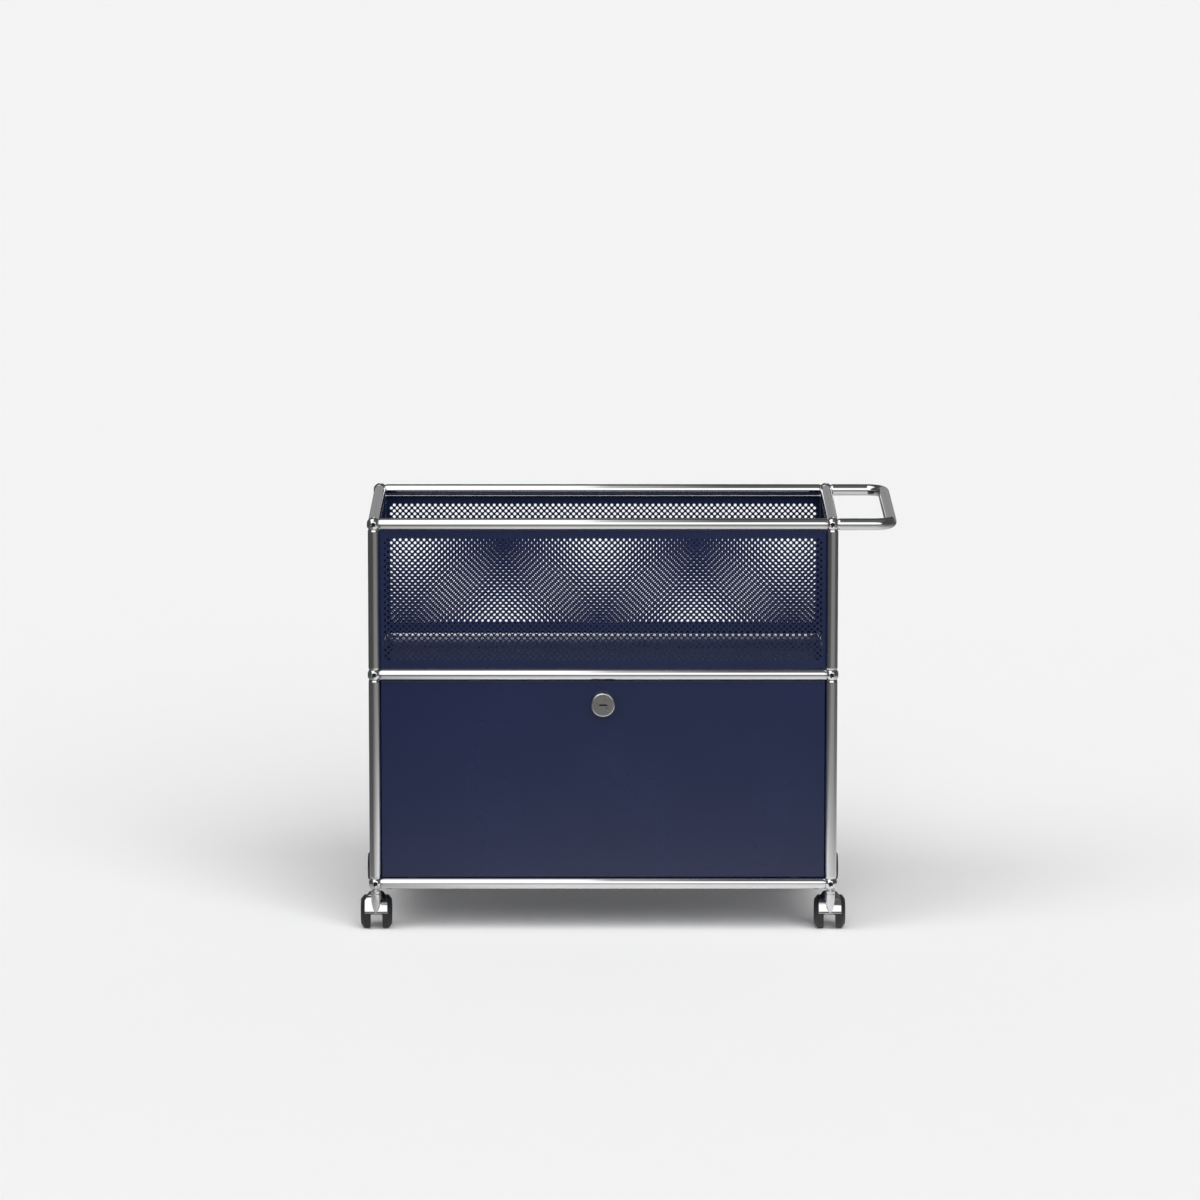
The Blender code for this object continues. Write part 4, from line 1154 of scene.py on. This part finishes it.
def crown_shell(steps=44, arch=30):
    """Crown: at angle e its section is an arch, x = w(e) cos^f t and radius = inner + h(e) sin^f t,
    with the half width w and the rise h read from the tables."""
    angle = np.linspace(*CROWN_SWEEP, steps)
    half = np.interp(angle, *np.transpose(CROWN_WIDTHS))[:, None] / 2
    rise = np.interp(angle, *np.transpose(CROWN_RISES))[:, None]
    t = np.linspace(0.0, math.pi, arch)[None, :]
    x = half * np.sign(np.cos(t)) * np.abs(np.cos(t)) ** CROWN_FLATNESS
    radius = HOOD_INNER + rise * np.abs(np.sin(t)) ** CROWN_FLATNESS
    cap = np.full((1, arch), HOOD_INNER + CROWN_CAP)
    x = np.concatenate([0 * x[:1], x, 0 * x[:1]])
    radius = np.concatenate([cap, radius, cap])
    points = round_axle(x, radius, np.concatenate([angle[:1], angle, angle[-1:]])[:, None])
    return points.reshape(-1, 3), [grid_faces(*points.shape[:2], wrap_columns=True)]


print("crown points", len(crown_shell()[0]))

# %% [markdown]
# A web between the wheels, a neck and a rib join hood, axle and socket.
# Extruded outlines would have knife edges, which no casting has.  Each outline is drawn in a
# little on both faces, so that a narrow slope runs round its edge and catches the light.

# %% Web, neck and rib
NECK_HEIGHT = 0.009
NECK_HALF_WIDTH = 0.0065
NECK_EDGE = 0.0008
NECK_INSET = 0.0004           # neck's top below the crown's
RIB_HALF_WIDTH = 0.0012
RIB_FOOT = 0.0044             # rib's front corner above the axle
RIB_TOE = 0.003               # rib's lowest corner above the socket's tip
OVERLAP = 0.0008              # how far web and rib reach into the hood
WEB_CLEARANCE = 0.0005        # between the web and either wheel


def slab(outline, half_width, softness=0.0004):
    """Flat piece across X with softened edges: the (y, z) outline drawn in by a softness at both faces,
    and closed on its middle."""
    outline = np.asarray(outline, float)
    centre = outline.mean(0)
    drawn = centre + (outline - centre) * (1 - softness / np.abs(outline - centre).max())
    layers = [(centre + 0 * outline, -half_width), (drawn, -half_width), (outline, -half_width + softness),
              (outline, half_width - softness), (drawn, half_width), (centre + 0 * outline, half_width)]
    points = np.stack([np.column_stack([np.full(len(ring), x), ring]) for ring, x in layers])
    return points.reshape(-1, 3), [grid_faces(len(layers), len(outline), wrap_columns=True)]


def fork_shells():
    """Hood, crown, web, neck and rib of one caster, as separate closed shells."""
    web = np.concatenate([axle_arc(HOOD_INNER + OVERLAP, HOOD_SWEEP[0], CROWN_SWEEP[1], 40),
                          axle_arc(HUB_RADIUS, 180.0, 360.0, 24)])
    top = HOOD_INNER + CROWN_HEIGHT - DROP - NECK_INSET
    neck = [(0.0, top - NECK_HEIGHT), (0.0, top), (TRAIL, top), (TRAIL, top - NECK_HEIGHT)]
    rib = [(0.0, top - NECK_HEIGHT / 2), (TRAIL, top - NECK_HEIGHT / 2), (TRAIL, HUB_RADIUS - DROP),
           (TRAIL - HOOD_OUTER + OVERLAP, RIB_FOOT - DROP), (0.0, RIB_TOE - SOCKET_BOTTOM)]
    return join_shells(hood_shell(), crown_shell(), slab(web, WHEEL_SPACING / 2 - WEB_CLEARANCE),
                       slab(neck, NECK_HALF_WIDTH, NECK_EDGE), slab(rib, RIB_HALF_WIDTH))


print("points from hood to rib", len(fork_shells()[0]))

# %% [markdown]
# The socket is the pointed sleeve that turns on the stem.
# A plain cone would look thin in the middle, so its side is bellied by half a sine wave, as on
# the real casting, and the tip ends in a small flat.

# %% Socket
SOCKET_BORE = 0.012           # how far the stem's hole reaches into the sleeve
SOCKET_BELLY = 0.0008
SOCKET_TIP = 0.002
SOCKET_EDGE = 0.0005


def socket_shell():
    """Straight sleeve, then a bellied cone down to a small tip: for a share s along the cone, its
    radius is collar + (tip - collar) s + belly sin(pi s)."""
    straight = SOCKET_TOP + SOCKET_LENGTH
    bore, shoulder = STEM_RADIUS + SOCKET_GAP, COLLAR_RADIUS - 0.0003
    sleeve = [(0.0, -SOCKET_TOP - SOCKET_BORE), (bore, -SOCKET_TOP - SOCKET_BORE), (bore, -SOCKET_TOP),
              (COLLAR_RADIUS - SOCKET_EDGE, -SOCKET_TOP), (COLLAR_RADIUS, -SOCKET_TOP - SOCKET_EDGE),
              (COLLAR_RADIUS, -straight + 0.0006), (shoulder, -straight - 0.0004)]
    share = np.linspace(0.06, 0.97, 12)[:, None]
    belly = SOCKET_BELLY * np.sin(math.pi * share)
    cone = np.hstack([shoulder + (SOCKET_TIP - COLLAR_RADIUS) * share + belly,
                      -straight - SOCKET_TAPER * share])
    tip = [(SOCKET_TIP * 0.6, -SOCKET_BOTTOM + 0.0002), (0.0, -SOCKET_BOTTOM)]
    return turned(np.concatenate([sleeve, cone, tip]), STEM_FACETS)


print("socket points", len(socket_shell()[0]))

# %% [markdown]
# A wheel is one moulded disc with a sloping shoulder and a raised hub cap in a shallow dish.
# A torus on a cylinder would miss the slope that makes these wheels look slim from the front.
# The whole section is one profile turned round the axle, and the left wheel is the right one
# after half a turn, never a mirror image, because that would turn its faces inside out.

# %% Wheels
WHEEL_FACETS = 96
SHOULDER_ACROSS = 0.0056      # sloping shoulder, along the axle
SHOULDER_DEEP = 0.0072        # and towards it
DISH_RADIUS = 0.0172
DISH_DEPTH = 0.0009
CAP_RADIUS = 0.0088


def wheel_shell():
    """Wheel on the +X side of the fork, as a profile of (radius, x): tread, sloping shoulder with
    two short curves, dish, hub cap with a dimple in its middle."""
    inner = WHEEL_SPACING / 2
    outer = inner + WHEEL_WIDTH
    corners = np.array([(WHEEL_RADIUS, inner + 0.004), (WHEEL_RADIUS, outer - SHOULDER_ACROSS),
                        (WHEEL_RADIUS - SHOULDER_DEEP, outer), (DISH_RADIUS, outer)])[:, None]
    tread = [(0.0, inner), (WHEEL_RADIUS - 0.0012, inner), (WHEEL_RADIUS - 0.0003, inner + 0.0003),
             (WHEEL_RADIUS, inner + 0.0012)]
    shoulder = [short_curve(*corners[:3], 0.0020, 7), short_curve(*corners[1:], 0.0016, 7)]
    dish = [(DISH_RADIUS, outer), (DISH_RADIUS - 0.0005, outer - 0.0002),
            (DISH_RADIUS - 0.0012, outer - DISH_DEPTH), (CAP_RADIUS + 0.0010, outer - DISH_DEPTH)]
    cap = [(CAP_RADIUS + 0.0005, outer - 0.0003), (CAP_RADIUS, outer), (0.0016, outer),
           (0.0012, outer - 0.0004), (0.0, outer - 0.0004)]
    return turned(np.concatenate([tread, *shoulder, dish, cap]), WHEEL_FACETS, "X")


print("wheel points", len(wheel_shell()[0]))

# %% [markdown]
# The casters go where the joints say.
# A swivel's place is the centre of the ball above, and a wheel's is on its axle, so each piece
# turns round the right line when its joint moves.

# %% Casters in their places
WHEEL_TURNS = {"right": Matrix.Identity(4), "left": Matrix.Rotation(math.pi, 4, "Z")}

casters = [f"caster_{depth}_{side}" for depth in DEPTHS for side in SIDES]
for caster in casters:
    swivel = Matrix.Translation(joints[f"{caster}_swivel"]["pos_m"])
    axle = Matrix.Translation(joints[f"{caster}_wheel_left_spin"]["pos_m"])
    new_piece(f"{caster}_hood", placed(fork_shells(), swivel), chrome, caster, [f"{caster}_fork"])
    new_piece(f"{caster}_socket", placed(socket_shell(), swivel), chrome, caster)
    for wheel, turn in WHEEL_TURNS.items():
        node = f"{caster}_wheel_{wheel}"
        new_piece(f"{node}_tyre", placed(wheel_shell(), axle @ turn), wheel_plastic, node, [node])
print("casters", len(casters))

# %% [markdown]
# The solids that stay get the same finishes.
# The door with its folded edge and ears, the two hinges and the lock's cam already have the real
# outline.  A new mesh would only repeat them, so only the materials in their slots change.

# %% Finish the solids that stay
# Hinges and cam take the zinc that is painted dark grey as shade.
KEPT = {"door": powder_coat, "hinge_left": shaded_zinc, "hinge_right": shaded_zinc,
        "lock_cam": shaded_zinc}
for node, material in KEPT.items():
    for material_slot in nodes[node].material_slots:
        material_slot.material = material
print("kept solids", sorted(KEPT))

# %% [markdown]
# The studio starts with a pale floor that has no horizon.
# A curved paper backdrop would show its bend from the side.  A very large level square looks the
# same from all sides, and it fades into the pale world behind it.  It has no sheen at all, so it
# never mirrors the dark walls of the room that comes next.

# %% Floor
FLOOR_HALF = 60.0
FLOOR_COLOUR = 0.88


def square_shell(half, height):
    """Level square round the origin, from -half to half, at a height."""
    corners = np.array([(-1, -1, 0), (1, -1, 0), (1, 1, 0), (-1, 1, 0)]) * half + (0.0, 0.0, height)
    return corners, [np.array([[0, 1, 2, 3]])]


def stage_piece(name, shell, material):
    """A mesh of the studio, which isn't part of the trolley."""
    mesh = bpy.data.meshes.new(name)
    fill_mesh(mesh, *shell)
    mesh.materials.append(material)
    piece = bpy.data.objects.new(name, mesh)
    bpy.context.collection.objects.link(piece)
    return piece


def make_floor_paint():
    """Pale matt floor without sheen."""
    finish = Finish("floor_paint")
    finish.set("Base Color", (FLOOR_COLOUR, FLOOR_COLOUR, FLOOR_COLOUR, 1.0))
    finish.set("Roughness", 1.0)
    finish.set("Specular IOR Level", 0.0)
    return finish.material


stage_piece("floor", square_shell(FLOOR_HALF, 0.0), make_floor_paint())
print("floor", 2 * FLOOR_HALF, "m square")

# %% [markdown]
# Polished tubes and glossy paint show their surroundings more than their own colour.
# A white world alone would turn every tube white.  In a real studio the walls are dark and there
# are large soft boxes: a long low one in front, and one overhead that dims towards the right.
# They are painted on the inside of a dome that only reflections can see, because the camera has
# to look past it from every side.

# %% Reflected room
ROOM_RADIUS = 9.0
ROOM_DARK = 0.07              # walls beside and overhead
ROOM_BEHIND = 0.28            # low wall behind the trolley
ROOM_BRIGHT = 1.25            # soft boxes in front and overhead
ROOM_DIM = (0.46, 0.12)       # overhead, from the middle to the right
# Places in the room, in radii: x to the right, y away from the camera, z up.
BOX_SIDES = (0.50, 0.75)      # where the boxes end on either side
BOX_FOOT = (0.04, 0.24)       # z over which they begin
BOX_BACK = (0.12, 0.30)       # y over which the one overhead ends
BOX_SEAM = (-0.70, -0.62)     # y between the low one and the one overhead
DIM_START = (-0.009, 0.0)     # x over which the overhead one drops
DIM_END = (0.0, 0.04)
WALL_BACK = (0.4, 0.9)        # y over which the low wall behind begins
WALL_TOP = (0.2, 0.45)        # z over which it ends


class Glow(Nodes):
    """A material that only shines, as bright as its tree says."""

    def __init__(self, name):
        self.material = bpy.data.materials.new(name)
        self.material.use_nodes = True
        super().__init__(self.material.node_tree)
        self.tree.nodes.clear()
        self.emission = self.add("ShaderNodeEmission")
        self.output = self.add("ShaderNodeOutputMaterial")
        self.feed(self.output.inputs["Surface"], self.emission.outputs["Emission"])


def reflection_only(piece):
    """Leaves a piece to reflections: neither the camera nor the lamps' light meets it."""
    piece.visible_camera = False
    piece.visible_diffuse = False
    piece.visible_shadow = False
    piece.visible_transmission = False
    piece.visible_volume_scatter = False


def dome_shell(radius, rings=24, sides=48):
    """Half sphere: point (i, j) is radius (cos e_i cos a_j, cos e_i sin a_j, sin e_i)."""
    elevation = np.linspace(0.0, math.pi / 2, rings)[:, None]
    angle = np.linspace(0.0, math.tau, sides, endpoint=False)[None, :]
    points = np.stack([np.cos(elevation) * np.cos(angle), np.cos(elevation) * np.sin(angle),
                       np.sin(elevation) + 0 * angle], -1) * radius
    return points.reshape(-1, 3), [grid_faces(rings, sides, wrap_columns=True)]


def make_room_paint():
    """Light of the dome at each place: the boxes' strength, times a soft edge on each side, or the
    wall's, whichever is more."""
    room = Glow("room_dome")
    x, y, z = (room.number("DIVIDE", part, ROOM_RADIUS) for part in room.parts(room.place()))
    overhead = room.fade(y, *BOX_SEAM, 0.0, 1.0)
    level = room.number("MAXIMUM", room.fade(x, *DIM_START, ROOM_BRIGHT, 0.0),
                        room.fade(x, *DIM_END, *ROOM_DIM))
    low = room.number("MULTIPLY", room.number("SUBTRACT", 1.0, overhead), ROOM_BRIGHT)
    lit = room.number("ADD", low, room.number("MULTIPLY", overhead, level))
    for edge in (room.fade(room.number("ABSOLUTE", x, 0.0), *BOX_SIDES, 1.0, 0.0),
                 room.fade(z, *BOX_FOOT, 0.0, 1.0), room.fade(y, *BOX_BACK, 1.0, 0.0)):
        lit = room.number("MULTIPLY", lit, edge)
    wall = room.number("MULTIPLY", room.fade(y, *WALL_BACK, 0.0, ROOM_BEHIND - ROOM_DARK),
                       room.fade(z, *WALL_TOP, 1.0, 0.0))
    wall = room.number("ADD", wall, ROOM_DARK)
    room.feed(room.emission.inputs["Strength"], room.number("MAXIMUM", wall, lit))
    return room.material


reflection_only(stage_piece("room_dome", dome_shell(ROOM_RADIUS), make_room_paint()))
print("room", ROOM_RADIUS, "m in radius")

# %% [markdown]
# The lower half of a tube mirrors the floor, and a real floor isn't lit all the way out.
# Darkening the floor itself would show in the picture.  A sheet lies just above it instead, seen
# only by reflections: clear close to the trolley, and dark further out, sooner on the left, with
# a pool of light left in front and to the right.

# %% Fading floor
FADE_HEIGHT = 0.0005
FADE_NEAR = 0.93              # share of the floor's light that reflections get close by
FADE_HALFWAY = (0.50, 0.98)   # metres out where half of that is left, on the left and elsewhere
FADE_POWER = 3.0
FADE_DARK = 0.07              # light that is left far out
FADE_POOL = 0.15              # how much more than that is left in the pool
# Directions as the sine of the turn to the right, seen from above.
FADE_LEFT = (-0.8, -0.45)
POOL_LEFT = (-0.45, 0.05)
POOL_RIGHT = (0.65, 1.0)
POOL_FRONT = (0.5, -0.5)      # y over which the pool begins, in metres


def make_fading_paint():
    """At a distance r the sheet lets near / (1 + (r / halfway) ^ power) of the floor through, and
    shows a dark level and the pool in place of the rest."""
    sheet = Glow("floor_fade")
    place = sheet.place()
    distance = sheet.length(place)
    x, y, _ = sheet.parts(place)
    aside = sheet.number("DIVIDE", x, distance)
    pool = sheet.number("MULTIPLY", sheet.fade(aside, *POOL_LEFT, 0.0, 1.0),
                        sheet.fade(aside, *POOL_RIGHT, 1.0, 0.0))
    pool = sheet.number("MULTIPLY", pool, sheet.fade(y, *POOL_FRONT, 0.0, FADE_POOL))
    sheet.feed(sheet.emission.inputs["Strength"], sheet.number("ADD", pool, FADE_DARK))
    halfway = sheet.fade(aside, *FADE_LEFT, *FADE_HALFWAY)
    steps = sheet.number("POWER", sheet.number("DIVIDE", distance, halfway), FADE_POWER)
    clear = sheet.number("DIVIDE", FADE_NEAR, sheet.number("ADD", steps, 1.0))
    sheet.mix_shaders(clear, sheet.emission.outputs["Emission"],
                      sheet.add("ShaderNodeBsdfTransparent").outputs["BSDF"], sheet.output)
    return sheet.material


reflection_only(stage_piece("floor_fade", square_shell(ROOM_RADIUS, FADE_HEIGHT), make_fading_paint()))
print("floor fades to half at", FADE_HALFWAY, "m")

# %% [markdown]
# Two large soft lamps give the shapes and the shadow.
# Area lamps would light the near side more than the far one.  A sun is infinitely far away, so
# the light is even, and its angle across alone decides how soft the shadow's edge is.  The key
# stands to the right and the weaker fill to the left, and neither shows in the chrome.

# %% Lamps
# strength, degrees across, degrees to the right of straight in front, degrees up
LAMPS = {"key": (2.85, 53.0, 15.0, 40.0), "fill": (1.01, 37.0, -48.0, 48.0)}


def add_sun(name, strength, across, right, up):
    """Lamp infinitely far away; its angle across makes the shadow's edge soft."""
    lamp = bpy.data.lights.new(name, "SUN")
    lamp.energy = strength
    lamp.angle = math.radians(across)
    sun = bpy.data.objects.new(name, lamp)
    bpy.context.collection.objects.link(sun)
    sun.rotation_euler = (math.radians(90.0 - up), 0.0, math.radians(right))
    sun.visible_glossy = False
    return sun


for lamp_name, lamp_values in LAMPS.items():
    add_sun(lamp_name, *lamp_values)
print("lamps", sorted(LAMPS))

# %% [markdown]
# The world does two jobs.
# It lights the trolley softly from low all round, as light that comes back from pale walls does.
# The camera, metal and glass see a plain pale backdrop instead, which is told apart by the kind
# of ray, so the background's tone can be set without adding any light.

# %% Backdrop
RING_STRENGTH = 1.2           # low light from all round
RING_FADE = (0.2, 0.6)        # heights of a direction, as sines, between which it goes out
BACKDROP_COLOUR = 0.896


def make_backdrop():
    """World: a ring of light for matt surfaces, and a pale tone for the rays that see it."""
    world = bpy.data.worlds.new("backdrop")
    world.use_nodes = True
    sky = Nodes(world.node_tree)
    sky.tree.nodes.clear()
    height = sky.parts(sky.add("ShaderNodeTexCoord").outputs["Generated"])[2]
    ring, pale = sky.add("ShaderNodeBackground"), sky.add("ShaderNodeBackground")
    sky.feed(ring.inputs["Color"], (1.0, 1.0, 1.0, 1.0))
    sky.feed(ring.inputs["Strength"], sky.fade(height, *RING_FADE, RING_STRENGTH, 0.0))
    sky.feed(pale.inputs["Color"], (BACKDROP_COLOUR, BACKDROP_COLOUR, BACKDROP_COLOUR, 1.0))
    rays = sky.add("ShaderNodeLightPath").outputs
    seen = sky.number("MAXIMUM", rays["Is Camera Ray"], rays["Is Glossy Ray"])
    seen = sky.number("MAXIMUM", seen, rays["Is Transmission Ray"])
    sky.mix_shaders(seen, ring.outputs["Background"], pale.outputs["Background"],
                    sky.add("ShaderNodeOutputWorld"))
    return world


bpy.context.scene.world = make_backdrop()
bpy.context.scene.view_settings.view_transform = "Standard"
print("backdrop", BACKDROP_COLOUR)
